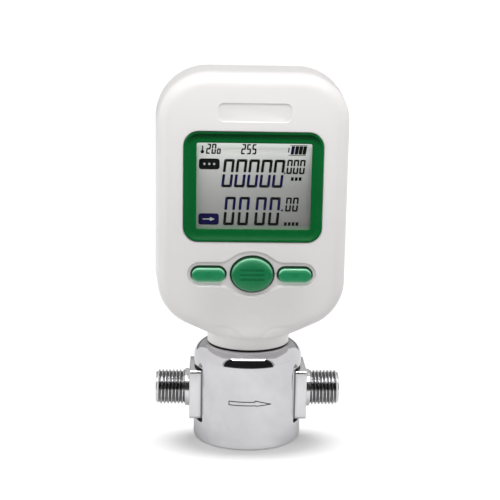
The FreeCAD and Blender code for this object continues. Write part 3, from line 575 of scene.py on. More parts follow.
stations = [
    rrect_loop(bx, bz, bw, bh, br, FACE_Y + 2.2, 16, 10),
    rrect_loop(bx, bz, bw, bh, br, FACE_Y - 0.05, 16, 10),
    rrect_loop(bx, bz, bw, bh, br, FACE_Y - 0.22, 16, 10),
    rrect_loop(bx, bz, bw - 0.14, bh - 0.14, br - 0.07, FACE_Y - 0.38, 16, 10),
    rrect_loop(bx, bz, bw - 0.42, bh - 0.42, br - 0.21, FACE_Y - 0.50, 16, 10),
    rrect_loop(bx, bz, bw - 0.80, bh - 0.80, br - 0.40, FACE_Y - 0.55, 16, 10),
    rrect_loop(bx, bz, bw - 1.20, bh - 1.20, br - 0.60, FACE_Y - 0.52, 16, 10),
    rrect_loop(bx, bz, bw - 1.60, bh - 1.60, br - 0.80, FACE_Y - 0.44, 16, 10),
    *[band(f) for f in (0.07, 0.15, 0.25, 0.37, 0.50, 0.64, 0.78, 0.90, 1.0)],
    rrect_loop(lx, lz, lw + 1.60, lh + 1.60, 1.45, FACE_Y + 0.80, 16, 10),
    rrect_loop(lx, lz, lw + 0.30, lh + 0.30, 0.80, FACE_Y + 0.80, 16, 10),
    rrect_loop(lx, lz, lw + 0.06, lh + 0.06, 0.68, FACE_Y + 0.88, 16, 10),
    rrect_loop(lx, lz, lw, lh, 0.65, FACE_Y + 1.05, 16, 10),
    rrect_loop(lx, lz, lw, lh, 0.65, FACE_Y + 1.74, 16, 10),
    rrect_loop(lx, lz, lw + 3.2, lh + 3.2, 1.8, FACE_Y + 1.76, 16, 10),
    rrect_loop(lx, lz, lw + 3.2, lh + 3.2, 1.8, FACE_Y + 3.18, 16, 10),
    rrect_loop(bx, bz, bw + 2.6, bh + 2.6, br + 1.3, FACE_Y + 3.2, 16, 10),
    rrect_loop(bx, bz, bw + 2.6, bh + 2.6, br + 1.3, FACE_Y + 2.22, 16, 10),
]
bezel = rings_to_solid("bezel_ring", stations, loop=True)
sharp_by_angle(bezel, 34)
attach(bezel, "housing")
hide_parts("display_bezel")

# ------------------------------------------------------------------ buttons
def stadium(cx, cz, w, h, y):
    return rrect_loop(cx, cz, w, h, h / 2 - 0.005, y, 24, 10)


def side_cap(name, sx, body):
    x, y0 = sx * BTN_X, FACE_Y - 0.7
    W, H, Z = BTN_W - 0.34, BTN_H - 0.36, BTN_Z - 0.08
    rings = [stadium(x, BTN_Z, BTN_W + 1.0, BTN_H + 1.6, FACE_Y + WALL + 1.2),
             stadium(x, BTN_Z, BTN_W + 1.0, BTN_H + 1.6, FACE_Y + WALL + 0.3),
             stadium(x, BTN_Z, BTN_W, BTN_H, FACE_Y + WALL + 0.29),
             stadium(x, BTN_Z, BTN_W, BTN_H, FACE_Y + 0.75)]
    r = 0.85
    rings.append(stadium(x, Z, W, H, y0 + r + 0.06))
    for k in range(1, 9):
        a = math.radians(90 * k / 8)
        rings.append(stadium(x, Z, W - 2 * r * (1 - math.cos(a)), H - 2 * r * (1 - math.cos(a)), y0 + r - r * math.sin(a) + 0.06))
    for inset, dy in ((1.15, 0.035), (1.6, 0.012), (2.1, 0.0)):
        rings.append(stadium(x, Z, W - 2 * inset, H - 2 * inset, y0 + dy))
    cap = rings_to_solid(name, rings)
    stem = cyl_cutter("stem", 1.6, "y", (x, BTN_Z), FACE_Y + WALL + 1.0, -19.4, 48)
    cap = boolean(cap, stem, "UNION")
    # shallow engraved mark: up on the left, down on the right
    s = 1.0 if sx < 0 else -1.0
    tri = [(x - 1.25, Z - 0.72 * s), (x + 1.25, Z - 0.72 * s), (x, Z + 0.92 * s)]
    ring = lambda y: [(px, y, pz) for px, pz in rounded(tri, 0.15)]
    cap = boolean(cap, rings_to_solid("c", [ring(y0 - 0.5), ring(y0 + 0.18)]))
    sharp_by_angle(cap, 32)
    finish_piece(cap, body, name.replace("_cap", ""), "trim_green")
    return cap


def function_cap():
    y0 = FACE_Y - 1.0
    A, B = OVAL[2], OVAL[3]
    cut = lambda y: 0.20 if y < FACE_Y + 0.75 else 0.0
    e = lambda inset, y: ellipse_loop(OVAL[0], OVAL[1] - cut(y) * 0.5, A - 0.35 - inset - cut(y), B - inset - cut(y), y, 160)
    rings = [ellipse_loop(OVAL[0], OVAL[1], A, B + 1.2, FACE_Y + WALL + 1.2, 160), ellipse_loop(OVAL[0], OVAL[1], A, B + 1.2, FACE_Y + WALL + 0.3, 160),
             e(0.002, FACE_Y + WALL + 0.29)]
    r = 1.05
    rings.append(e(0.002, FACE_Y + 0.76))
    rings.append(e(0.0, y0 + r + 0.22))
    for k in range(1, 10):
        a = math.radians(80 * k / 9)
        rings.append(e(r * (1 - math.cos(a)), y0 + r - r * math.sin(a) + 0.20))
    for inset, dy in ((1.25, 0.155), (1.9, 0.10), (2.7, 0.055), (3.7, 0.02), (4.6, 0.004), (5.2, 0.0)):
        rings.append(e(inset, y0 + dy))
    cap = rings_to_solid("function_cap", rings)
    cap = boolean(cap, cyl_cutter("stem", 1.6, "y", (OVAL[0], OVAL[1]), FACE_Y + WALL + 1.0, -19.4, 48), "UNION")
    # three plain bars, engraved
    for dz, w in ((1.7, 8.6), (0.0, 8.6), (-1.7, 8.6)):
        bar = rings_to_solid("c", [rrect_loop(OVAL[0], OVAL[1] + dz, w, 0.72, 0.34, y, 8, 2) for y in (y0 - 0.6, y0 + 0.27)])
        cap = boolean(cap, bar)
    sharp_by_angle(cap, 32)
    finish_piece(cap, "function_button", "function_button", "trim_green")
    return cap


# ------------------------------------------------------------ display flakes
DISPLAY_Y = FACE_Y + 3.3          # front of the display glass


def flakes(polys, name):
    verts, faces = [], []
    for poly in polys:
        k = len(poly)
        b = len(verts)
        verts += [(x, DISPLAY_Y - 0.05, z) for x, z in poly] + [(x, DISPLAY_Y - 0.002, z) for x, z in poly]
        faces.append(tuple(range(b, b + k)))
        faces.append(tuple(reversed(range(b + k, b + 2 * k))))
        for i in range(k):
            j = (i + 1) % k
            faces.append((b + i, b + k + i, b + k + j, b + j))
    return fix_normals(new_object(name, verts, faces, smooth=False))


def rounded(poly, r, steps=4):
    """Rounds the corners of a polygon given as (x, z)."""
    out = []
    n = len(poly)
    for i in range(n):
        p, c, q = np.array(poly[i - 1]), np.array(poly[i]), np.array(poly[(i + 1) % n])
        u, w = p - c, q - c
        lu, lv = np.linalg.norm(u), np.linalg.norm(w)
        d = min(r, lu * 0.49, lv * 0.49)
        a, b = c + u / lu * d, c + w / lv * d
        for k in range(steps + 1):
            t = k / steps
            out.append(tuple((1 - t) ** 2 * a + 2 * t * (1 - t) * c + t * t * b))
    return out


def seven_segment(x, z, w, h, t, digit, slant=0.1, gap=0.16, mid=0.4):
    """Segment outlines of one digit; x, z is its lower left, leaning to the right."""
    on = {"0": "abcdef", "1": "bc", "2": "abged", "3": "abgcd", "4": "fgbc", "5": "afgcd", "6": "afgedc",
          "7": "abc", "8": "abcdefg", "9": "abfgcd", "o": "cdeg", "-": "g"}[digit]
    g, m = gap / 2, mid / 2
    hh = h / 2
    S = {
        "a": [(g + t * 0.1, h), (w - g - t * 0.1, h), (w - t * 0.85 - g, h - t), (t * 0.85 + g, h - t)],
        "d": [(g + t * 0.1, 0), (t * 0.85 + g, t), (w - t * 0.85 - g, t), (w - g - t * 0.1, 0)],
        "f": [(0, h - g - t * 0.1), (t, h - t * 0.85 - g), (t, hh + m + t * 0.25), (t * 0.5, hh + m), (0, hh + m + t * 0.25)],
        "b": [(w, h - g - t * 0.1), (w, hh + m + t * 0.25), (w - t * 0.5, hh + m), (w - t, hh + m + t * 0.25), (w - t, h - t * 0.85 - g)],
        "e": [(0, g + t * 0.1), (0, hh - m - t * 0.25), (t * 0.5, hh - m), (t, hh - m - t * 0.25), (t, t * 0.85 + g)],
        "c": [(w, g + t * 0.1), (w - t, t * 0.85 + g), (w - t, hh - m - t * 0.25), (w - t * 0.5, hh - m), (w, hh - m - t * 0.25)],
        "g": [(g + t * 0.5, hh + t / 2), (w - g - t * 0.5, hh + t / 2), (w - g, hh), (w - g - t * 0.5, hh - t / 2),
              (g + t * 0.5, hh - t / 2), (g, hh)],
    }
    return {s: rounded([(x + px + pz * slant, z + pz) for px, pz in S[s]], t * 0.14, 2) for s in on}


def build_display():
    black, navy, pale = [], [], []

    def number(text, xs, z, w, h, t, upper, lower, slant, gap, mid, ends=None):
        for ch, x in zip(text, xs):
            for s, poly in seven_segment(x, z, w, h, t, ch, slant, gap, mid).items():
                (upper if s in "fb" else lower if s in "ec" else ends if ends is not None else upper).append(poly)

    # row one: five large zeros, a point, three small zeros
    number("00000", [-11.25 + 4.455 * i for i in range(5)], 98.35, 3.75, 10.0, 0.95, black, navy, 0.105, 0.10, 0.62, black)
    black.append(rounded([(10.85, 103.3), (11.4, 103.3), (11.45, 103.85), (10.9, 103.85)], 0.12))
    number("000", [11.65 + 2.26 * i for i in range(3)], 103.3, 1.9, 5.1, 0.60, black, black, 0.09, 0.07, 0.42, black)
    # row two: four large zeros, a point, two small zeros
    number("0000", [-10.42, -5.42, 0.58, 5.48], 84.8, 3.75, 10.2, 0.95, navy, black, 0.078, 0.10, 0.62, black)
    black.append(rounded([(10.15, 89.95), (10.8, 89.95), (10.85, 90.6), (10.2, 90.6)], 0.12))
    number("00", [11.52, 13.98], 89.9, 2.0, 5.05, 0.60, black, black, 0.09, 0.07, 0.38, black)
    # top row: thermometer, two digits and a small ring, three digits, cell gauge
    circle = lambda x, z, r, n=20: [(x + r * math.cos(2 * math.pi * k / n), z + r * math.sin(2 * math.pi * k / n)) for k in range(n)]
    black.append(circle(-17.95, 110.85, 0.62))
    black.append(rounded([(-18.15, 111.2), (-17.7, 111.2), (-17.62, 113.0), (-18.05, 113.0)], 0.18))
    number("20", [-16.75, -14.85], 110.1, 1.55, 3.6, 0.50, black, black, 0.1, 0.05, 0.12, black)
    number("o", [-12.95], 110.1, 1.35, 3.4, 0.46, black, black, 0.1, 0.05, 0.12, black)
    number("255", [-4.45, -2.55, -0.65], 110.1, 1.55, 3.6, 0.50, black, black, 0.1, 0.05, 0.12, black)
    sk = 0.16
    cell = lambda x, w: rounded([(x + 0.25 * sk, 110.25), (x + w, 110.25), (x + w + 3.0 * sk, 113.2), (x + 3.0 * sk, 113.2)], 0.15)
    navy.append(cell(13.0, 1.16))
    for i in range(1, 4):
        black.append(cell(13.0 + 1.38 * i, 1.26))
    for quad in ([(12.3, 109.86), (18.4, 109.86), (18.43, 110.06), (12.33, 110.06)], [(12.85, 113.36), (18.95, 113.36), (18.98, 113.56), (12.88, 113.56)],
                 [(12.1, 110.9), (12.5, 110.9), (12.72, 112.6), (12.32, 112.6)]):
        black.append(quad)
    # two plain label plates with plain marks in them
    plate = lambda x0, z0, x1, z1: rounded([(x0, z0), (x1, z0), (x1, z1), (x0, z1)], 1.05, 8)
    black.append(plate(-19.1, 104.65, -11.85, 108.45))
    navy.append(plate(-19.15, 84.9, -11.9, 88.95))
    for i in range(3):
        pale.append(circle(-17.2 + 1.72 * i, 106.55, 0.42))
    pale += [[(-17.7, 86.75), (-15.0, 86.75), (-15.0, 87.1), (-17.7, 87.1)], [(-15.05, 86.2), (-13.4, 86.92), (-15.05, 87.65)]]
    # plain tick marks where a unit would stand
    for x0, z0, n in ((13.35, 100.95, 3), (11.25, 84.8, 4)):
        for i in range(n):
            black.append(rounded([(x0 + 1.38 * i, z0), (x0 + 0.95 + 1.38 * i, z0), (x0 + 1.08 + 1.38 * i, z0 + 1.25), (x0 + 0.13 + 1.38 * i, z0 + 1.25)], 0.1))
    out = []
    for polys, name, mat in ((black, "display_marks_black", MAT["mark_black"]), (navy, "display_marks_blue", MAT["mark_navy"])):
        ob = flakes(polys, name)
        ob.data.materials.append(mat)
        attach(ob, "housing")
        out.append(ob)
    ob = flakes(pale, "display_marks_pale")
    for v in ob.data.vertices:
        v.co.y -= 0.03 * MM
    ob.data.materials.append(MAT["mark_pale"])
    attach(ob, "housing")
    return out


# ---------------------------------------------------------------- materials
def srgb(r, g, b):
    f = lambda c: (c / 255.0) / 12.92 if c / 255.0 <= 0.04045 else ((c / 255.0 + 0.055) / 1.055) ** 2.4
    return (f(r), f(g), f(b), 1.0)


class Graph:
    """Small helper for building one node material."""

    def __init__(self, name):
        self.mat = bpy.data.materials.new(name)
        self.mat.use_nodes = True
        self.tree = self.mat.node_tree
        self.tree.nodes.clear()
        self.out = self.node("ShaderNodeOutputMaterial")
        self.bsdf = self.node("ShaderNodeBsdfPrincipled")
        self.link(self.bsdf.outputs[0], self.out.inputs[0])
        self.coord = self.node("ShaderNodeTexCoord").outputs["Object"]

    def node(self, kind, **props):
        n = self.tree.nodes.new(kind)
        for k, v in props.items():
            setattr(n, k, v)
        return n

    def link(self, a, b):
        self.tree.links.new(a, b)

    def noise(self, scale, detail=3.0, rough=0.55, stretch=None, distortion=0.0):
        n = self.node("ShaderNodeTexNoise")
        n.inputs["Scale"].default_value = scale
        n.inputs["Detail"].default_value = detail
        n.inputs["Roughness"].default_value = rough
        n.inputs["Distortion"].default_value = distortion
        src = self.coord
        if stretch is not None:
            m = self.node("ShaderNodeMapping")
            m.inputs["Scale"].default_value = stretch
            self.link(src, m.inputs["Vector"])
            src = m.outputs[0]
        self.link(src, n.inputs["Vector"])
        return n.outputs["Fac"]

    def remap(self, src, a, b, lo, hi, smooth=False):
        m = self.node("ShaderNodeMapRange")
        if smooth:
            m.interpolation_type = "SMOOTHSTEP"
        for k, v in zip((1, 2, 3, 4), (a, b, lo, hi)):
            m.inputs[k].default_value = v
        self.link(src, m.inputs[0])
        return m.outputs[0]

    def ramp(self, src, stops, tint=(1.0, 1.0, 1.0)):
        r = self.node("ShaderNodeValToRGB")
        el = r.color_ramp.elements
        while len(el) < len(stops):
            el.new(0.5)
        for e, (t, v) in zip(el, stops):
            e.position = t
            e.color = (v * tint[0], v * tint[1], v * tint[2], 1.0)
        self.link(src, r.inputs[0])
        return r.outputs[0]

    def mix(self, fac, a, b, mode="MIX"):
        m = self.node("ShaderNodeMix", data_type="RGBA", blend_type=mode)
        self.link(fac, m.inputs[0]) if hasattr(fac, "links") else setattr(m.inputs[0], "default_value", fac)
        for sock, v in ((m.inputs[6], a), (m.inputs[7], b)):
            if hasattr(v, "links"):
                self.link(v, sock)
            else:
                sock.default_value = v
        return m.outputs[2]

    def axis(self, which):
        s = self.node("ShaderNodeSeparateXYZ")
        self.link(self.coord, s.inputs[0])
        return s.outputs[which]

    def facing(self, which):
        """One component of the surface's own direction."""
        s = self.node("ShaderNodeSeparateXYZ")
        self.link(self.node("ShaderNodeTexCoord").outputs["Normal"], s.inputs[0])
        return s.outputs[which]

    def math(self, op, a, b=None):
        m = self.node("ShaderNodeMath", operation=op)
        for sock, v in zip(m.inputs, (a, b)):
            if v is None:
                continue
            if hasattr(v, "links"):
                self.link(v, sock)
            else:
                sock.default_value = v
        return m.outputs[0]

    def bump(self, height, strength, distance, normal=None):
        b = self.node("ShaderNodeBump")
        b.inputs["Strength"].default_value = strength
        b.inputs["Distance"].default_value = distance
        self.link(height, b.inputs["Height"])
        if normal is not None:
            self.link(normal, b.inputs["Normal"])
        self.link(b.outputs[0], self.bsdf.inputs["Normal"])
        return b.outputs[0]

    def set(self, **kw):
        for k, v in kw.items():
            self.bsdf.inputs[k.replace("_", " ")].default_value = v
        return self


def scaled(c, k):
    return (min(c[0] * k, 1.0), min(c[1] * k, 1.0), min(c[2] * k, 1.0), 1.0)


def plastic(name, color, rough=0.42, tint=0.03, tint_scale=55.0, grain=2600.0, grain_depth=0.004, spread=0.06, ior=1.5, coat=0.0, coat_rough=0.1):
    g = Graph(name)
    g.link(g.mix(g.remap(g.noise(tint_scale), 0.3, 0.7, 0.0, 1.0), scaled(color, 1 - tint), scaled(color, 1 + tint)), g.bsdf.inputs["Base Color"])
    g.link(g.remap(g.noise(tint_scale * 6.0, 4.0), 0.25, 0.75, rough - spread, rough + spread), g.bsdf.inputs["Roughness"])
    g.bump(g.noise(grain, 2.0), 0.35, grain_depth * MM)
    g.set(IOR=ior)
    if coat:
        g.bsdf.inputs["Coat Weight"].default_value = coat
        g.bsdf.inputs["Coat Roughness"].default_value = coat_rough
    return g


def metal(name, color, rough=0.2, tint=0.05, tint_scale=120.0, spread=0.06, stretch=None, grain=1500.0, grain_depth=0.004):
    g = Graph(name)
    g.bsdf.inputs["Metallic"].default_value = 1.0
    g.link(g.mix(g.remap(g.noise(tint_scale, 4.0, 0.6, stretch), 0.3, 0.7, 0.0, 1.0), scaled(color, 1 - tint), scaled(color, 1 + tint)), g.bsdf.inputs["Base Color"])
    g.link(g.remap(g.noise(tint_scale * 3.0, 4.0, 0.6, stretch), 0.3, 0.7, max(rough - spread, 0.01), rough + spread), g.bsdf.inputs["Roughness"])
    g.bump(g.noise(grain, 3.0, 0.6, stretch), 0.3, grain_depth * MM)
    return g


MAT = {}


def make_materials():
    # satin white moulding: fine spark texture, faint random tint
    g = plastic("white_moulding", srgb(235, 232, 232), 0.40, 0.012, 30.0, 3200.0, 0.006, 0.05)
    # painted shade: the base colour is darkened towards the middle of the chin, under the face
    chin = g.math("MULTIPLY", g.remap(g.math("ABSOLUTE", g.axis(0)), 0.010, 0.027, 1.0, 0.0, True), g.remap(g.axis(2), 0.086, 0.056, 0.0, 0.125, True))
    chin = g.math("MULTIPLY", chin, g.remap(g.axis(2), 0.0455, 0.0485, 0.25, 1.0))
    base = g.bsdf.inputs["Base Color"].links[0].from_socket
    g.link(g.mix(chin, base, (0.0, 0.0, 0.0, 1.0)), g.bsdf.inputs["Base Color"])
    # painted light: a green glow on the lower walls of the cap openings stands in for the light the caps throw there
    sill = g.math("MULTIPLY", g.remap(g.axis(1), -0.02345, -0.02325, 0.0, 1.0), g.remap(g.axis(1), -0.0219, -0.0218, 1.0, 0.0))
    sill = g.math("MULTIPLY", sill, g.remap(g.facing(2), 0.35, 0.75, 0.0, 1.0))
    sill = g.math("MULTIPLY", sill, g.math("MULTIPLY", g.remap(g.axis(2), 0.0590, 0.0592, 0.0, 1.0), g.remap(g.axis(2), 0.0760, 0.0762, 1.0, 0.0)))
    sill = g.math("MULTIPLY", sill, g.remap(g.math("ABSOLUTE", g.axis(0)), 0.0085, 0.0090, 0.0, 1.0))
    g.bsdf.inputs["Emission Color"].default_value = (0.30, 0.46, 0.36, 1.0)
    g.link(g.math("MULTIPLY", sill, 0.75), g.bsdf.inputs["Emission Strength"])
    MAT["white"] = g.mat
    # gloss green
    g = plastic("green_moulding", srgb(12, 98, 46), 0.26, 0.05, 60.0, 2400.0, 0.003, 0.05)
    g.bsdf.inputs["Specular IOR Level"].default_value = 0.04
    # painted shade: the band is darker where it turns down under the rim, and the up-facing rim at the top is darker
    # still, as painted shadow
    base = g.bsdf.inputs["Base Color"].links[0].from_socket
    band = g.mix(g.remap(g.facing(2), -0.62, -0.04, 0.0, 1.0), srgb(6, 62, 28), base)
    rim = g.math("MULTIPLY", g.remap(g.axis(2), 0.1168, 0.1176, 0.0, 0.72), g.remap(g.facing(2), 0.05, 0.45, 0.0, 1.0))
    g.link(g.mix(rim, band, srgb(4, 44, 20)), g.bsdf.inputs["Base Color"])
    MAT["green"] = g.mat
    g = plastic("green_button", srgb(20, 124, 74), 0.24, 0.05, 90.0, 2400.0, 0.003, 0.05)
    # painted light: the upper rims of the caps are painted with a highlight and the lower rims with a glow, more
    # strongly on the side caps, which are also painted a little lighter overall
    base = g.bsdf.inputs["Base Color"].links[0].from_socket
    small = g.remap(g.math("ABSOLUTE", g.axis(0)), 0.0085, 0.0090, 0.0, 1.0)
    base = g.mix(g.math("MULTIPLY", small, 0.17), base, srgb(60, 200, 140))
    up = g.mix(g.math("MULTIPLY", g.remap(g.facing(2), 0.03, 0.40, 0.0, 0.88), g.math("ADD", 0.80, g.math("MULTIPLY", small, 0.33))), base, srgb(152, 236, 192))
    low = g.mix(g.math("MULTIPLY", g.remap(g.facing(2), -0.08, -0.45, 0.0, 0.55), g.math("ADD", 0.35, g.math("MULTIPLY", small, 0.65))), up, srgb(96, 168, 128))
    # painted shade: the sides, which stand in the gap, are painted dark
    gap_painted_shade = g.math("MULTIPLY", g.remap(g.facing(1), -0.70, -0.45, 0.0, 1.0), g.math("MAXIMUM", g.remap(g.facing(2), -0.85, -0.45, 0.35, 1.0), g.math("SUBTRACT", 1.0, small)))
    g.link(g.mix(gap_painted_shade, low, srgb(18, 74, 44)), g.bsdf.inputs["Base Color"])
    MAT["green_button"] = g.mat
    # display glass: pale grey-green, with painted shade that darkens it downwards, towards the lower right and a little
    # at the upper left
    g = Graph("display_glass")
    tx = g.remap(g.axis(0), -0.020, 0.0205, 0.0, 1.0)
    tz = g.remap(g.axis(2), 0.1142, 0.0836, 0.0, 1.0)
    down = g.math("ADD", tz, g.remap(g.noise(70.0, 2.0), 0.3, 0.7, -0.02, 0.02))
    c = g.ramp(down, [(0.0, 0.98), (0.10, 0.82), (0.30, 0.60), (0.55, 0.465), (0.75, 0.39), (1.0, 0.345)], (0.995, 1.0, 0.975))
    left = g.math("MULTIPLY", g.math("SUBTRACT", 1.0, tx), g.remap(tz, 0.0, 0.35, 0.10, 0.0))
    shade = g.math("ADD", left, g.math("MULTIPLY", tx, g.remap(tz, 0.0, 0.5, 0.15, 0.31)))
    c = g.mix(shade, c, (0.02, 0.021, 0.02, 1.0))
    speck = g.remap(g.noise(4200.0, 2.0), 0.35, 0.65, 0.0, 1.0)
    c = g.mix(g.math("MULTIPLY", speck, 0.10), c, srgb(150, 152, 146))
    # painted light: a little lighter green along the left and bottom edges
    edge = g.math("MAXIMUM", g.remap(g.axis(0), -0.0188, -0.0205, 0.0, 0.65), g.remap(g.axis(2), 0.0850, 0.0834, 0.0, 0.55))
    c = g.mix(edge, c, srgb(150, 205, 160))
    g.link(c, g.bsdf.inputs["Base Color"])
    g.link(g.remap(g.noise(300.0), 0.3, 0.7, 0.28, 0.40), g.bsdf.inputs["Roughness"])
    g.bump(g.noise(5200.0, 2.0), 0.15, 0.002 * MM)
    g.bsdf.inputs["Specular IOR Level"].default_value = 0.3
    # painted light: an emission, strongest along the upper edge, brightens the display where the bezel shades it
    g.link(g.ramp(tz, [(0.0, 0.52), (0.035, 0.38), (0.08, 0.17), (0.16, 0.07), (0.32, 0.02), (1.0, 0.0)], (0.94, 1.0, 0.95)), g.bsdf.inputs["Emission Color"])
    g.bsdf.inputs["Emission Strength"].default_value = 1.0
    MAT["lcd"] = g.mat
    for key, name, col in (("mark_black", "display_black", srgb(3, 3, 4)), ("mark_navy", "display_navy", srgb(10, 5, 66))):
        g = plastic(name, col, 0.5, 0.12, 200.0, 4000.0, 0.001)
        g.bsdf.inputs["Specular IOR Level"].default_value = 0.02
        MAT[key] = g.mat
    MAT["mark_pale"] = plastic("display_pale", srgb(188, 190, 190), 0.45, 0.04, 200.0, 4000.0, 0.001).mat
    g = plastic("clear_pane", srgb(120, 124, 124), 0.06, 0.01, 80.0, 3000.0, 0.0005, 0.02)
    g.bsdf.inputs["Alpha"].default_value = 0.02
    MAT["window"] = g.mat
    # bright plating, with the faint cloudiness of a polished casting
    g = metal("bright_plating", (0.64, 0.634, 0.655, 1.0), 0.045, 0.070, 62.0, 0.025, None, 260.0, 0.010)
    # painted shade: the plating is darker on its flat, up-facing top
    base = g.bsdf.inputs["Base Color"].links[0].from_socket
    g.link(g.mix(g.remap(g.facing(2), 0.955, 0.995, 0.0, 0.8), base, (0.43, 0.425, 0.44, 1.0)), g.bsdf.inputs["Base Color"])
    MAT["chrome"] = g.mat
    g = plastic("arrow_paint", srgb(38, 35, 42), 0.5, 0.15, 300.0)
    MAT["arrow"] = g.mat
    # the unplated inside is near black: partly its own dull finish, partly painted shade for the unlit cavity and the
    # window cuts
    MAT["unplated"] = plastic("unplated_inside", (0.035, 0.035, 0.037, 1.0), 0.6, 0.15, 200.0, 1400.0, 0.012, 0.08).mat
    # turned and milled steel: lines run round the thread's axis
    g = metal("machined_steel", (0.665, 0.665, 0.675, 1.0), 0.19, 0.10, 60.0, 0.06, (14.0, 1.0, 1.0), 900.0, 0.006)
    # painted shade: the thread roots and the bore are darkened. The threaded part is darker overall
    yy, zz = g.axis(1), g.math("SUBTRACT", g.axis(2), AXIS_Z * MM)
    rr = g.math("SQRT", g.math("ADD", g.math("MULTIPLY", yy, yy), g.math("MULTIPLY", zz, zz)))
    base = g.bsdf.inputs["Base Color"].links[0].from_socket
    out_x = g.math("ABSOLUTE", g.axis(0))
    tip = g.remap(out_x, 0.0334, 0.0340, 0.0, 1.0)
    cut = g.math("MULTIPLY", g.remap(out_x, 0.0240, 0.0243, 0.0, 1.0), g.math("SUBTRACT", 1.0, tip))
    base = g.mix(cut, base, (0.465, 0.465, 0.47, 1.0))
    # painted light: the up-facing faces of the bar outside the cover are lighter
    base = g.mix(g.math("MULTIPLY", g.remap(g.facing(2), 0.9, 0.98, 0.0, 1.0), g.remap(out_x, 0.0185, 0.019, 0.0, 1.0)), base, (0.96, 0.955, 0.96, 1.0))
    # painted light: the front faces of the bar outside the cover are lighter
    base = g.mix(g.math("MULTIPLY", g.remap(g.facing(1), -0.98, -0.9, 1.0, 0.0), g.remap(out_x, 0.0185, 0.0187, 0.0, 1.0)), base, (0.735, 0.73, 0.745, 1.0))
    # painted shade: a dark grey line where the bar goes in behind the cover
    base = g.mix(g.remap(out_x, 0.01775, 0.01805, 1.0, 0.0), base, (0.17, 0.165, 0.17, 1.0))
    clear_of_painted_shade = g.math("MAXIMUM", g.remap(rr, 0.00582, 0.00648, 0.0, 1.0), g.math("MULTIPLY", tip, g.remap(rr, 0.0047, 0.0050, 0.0, 1.0)))
    g.link(g.mix(clear_of_painted_shade, (0.25, 0.25, 0.255, 1.0), base), g.bsdf.inputs["Base Color"])
    MAT["steel"] = g.mat
    MAT["screw"] = metal("zinc_screw", (0.50, 0.51, 0.53, 1.0), 0.28, 0.10, 300.0, 0.08).mat
    MAT["aluminium"] = metal("cast_aluminium", (0.70, 0.71, 0.72, 1.0), 0.38, 0.06, 200.0, 0.08).mat
    MAT["plate"] = metal("anodised_plate", (0.62, 0.63, 0.64, 1.0), 0.36, 0.05, 160.0, 0.06, (1.0, 9.0, 1.0)).mat
    MAT["contact"] = metal("nickel_contact", (0.62, 0.60, 0.55, 1.0), 0.25, 0.06, 240.0, 0.06).mat
    MAT["mesh"] = metal("screen_steel", (0.50, 0.50, 0.51, 1.0), 0.32, 0.08, 400.0, 0.06).mat
    MAT["cell"] = plastic("cell_wrap", srgb(44, 60, 92), 0.30, 0.06, 120.0, 2600.0, 0.003).mat
    MAT["rubber"] = plastic("black_rubber", srgb(20, 20, 21), 0.66, 0.16, 160.0, 1900.0, 0.012, 0.10).mat
    MAT["board"] = plastic("green_board", srgb(14, 74, 44), 0.40, 0.12, 180.0, 2200.0, 0.006).mat
    MAT["chip"] = plastic("black_epoxy", srgb(26, 26, 28), 0.52, 0.12, 260.0, 2600.0, 0.008).mat
    MAT["connector"] = plastic("ivory_nylon", srgb(226, 220, 204), 0.46, 0.03, 180.0, 2600.0, 0.006).mat
    MAT["guide"] = plastic("light_guide", srgb(228, 232, 230), 0.34, 0.02, 120.0, 2600.0, 0.004).mat
    MAT["sensor"] = plastic("sensor_nylon", srgb(214, 210, 198), 0.48, 0.03, 180.0, 2600.0, 0.006).mat
    MAT["ribbon"] = plastic("flat_cable", srgb(224, 224, 220), 0.42, 0.03, 320.0, 2600.0, 0.004).mat


make_materials()


def finish_piece(ob, body, node, slot):
    mat = {"housing_white": "white", "trim_green": "green", "plated_base": "chrome", "flow_steel": "steel"}[slot]
    if slot == "trim_green" and node.endswith("button"):
        mat = "green_button"
    if mat != "chrome":
        ob.data.materials.clear()
        ob.data.materials.append(MAT[mat])
    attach(ob, body)
    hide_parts(node)


for ob, mat in ((front, "white"), (rear, "white"), (bezel, "green")):
    ob.data.materials.clear()
    ob.data.materials.append(MAT[mat])

side_cap("left_button_cap", -1, "left_button")
side_cap("right_button_cap", 1, "right_button")
function_cap()
build_display()

# CAD nodes that keep their own mesh get a finish of their own
KEPT = {
    "display_window": "window", "lcd_panel": "lcd", "backlight": "guide", "contact_strips": "rubber", "main_board": "board",
    "board_screws": "screw", "controller_chip": "chip", "board_connector": "connector", "left_switch": "chip", "function_switch": "chip",
    "right_switch": "chip", "battery_1": "cell", "battery_2": "cell", "battery_3": "cell", "contact_springs": "contact",
    "contact_plates": "contact", "battery_door": "white", "door_screw": "screw", "case_screws": "screw", "neck_gasket": "rubber",
    "neck_post": "aluminium", "neck_screws": "screw", "inlet_screen": "mesh", "outlet_screen": "mesh", "screen_rings": "screw",
    "sensor_plug": "sensor", "sensor_seal": "rubber", "sensor_board": "board", "sensor_connector": "connector", "sensor_screws": "screw",
    "sensor_cable": "ribbon", "bottom_plate": "plate", "base_screws": "screw",
}


def refinish(node, key):
    me = NODES[node].data
    if not me.materials:
        me.materials.append(MAT[key])
    for i in range(len(me.materials)):
        me.materials[i] = MAT[key]


for node, key in KEPT.items():
    refinish(node, key)


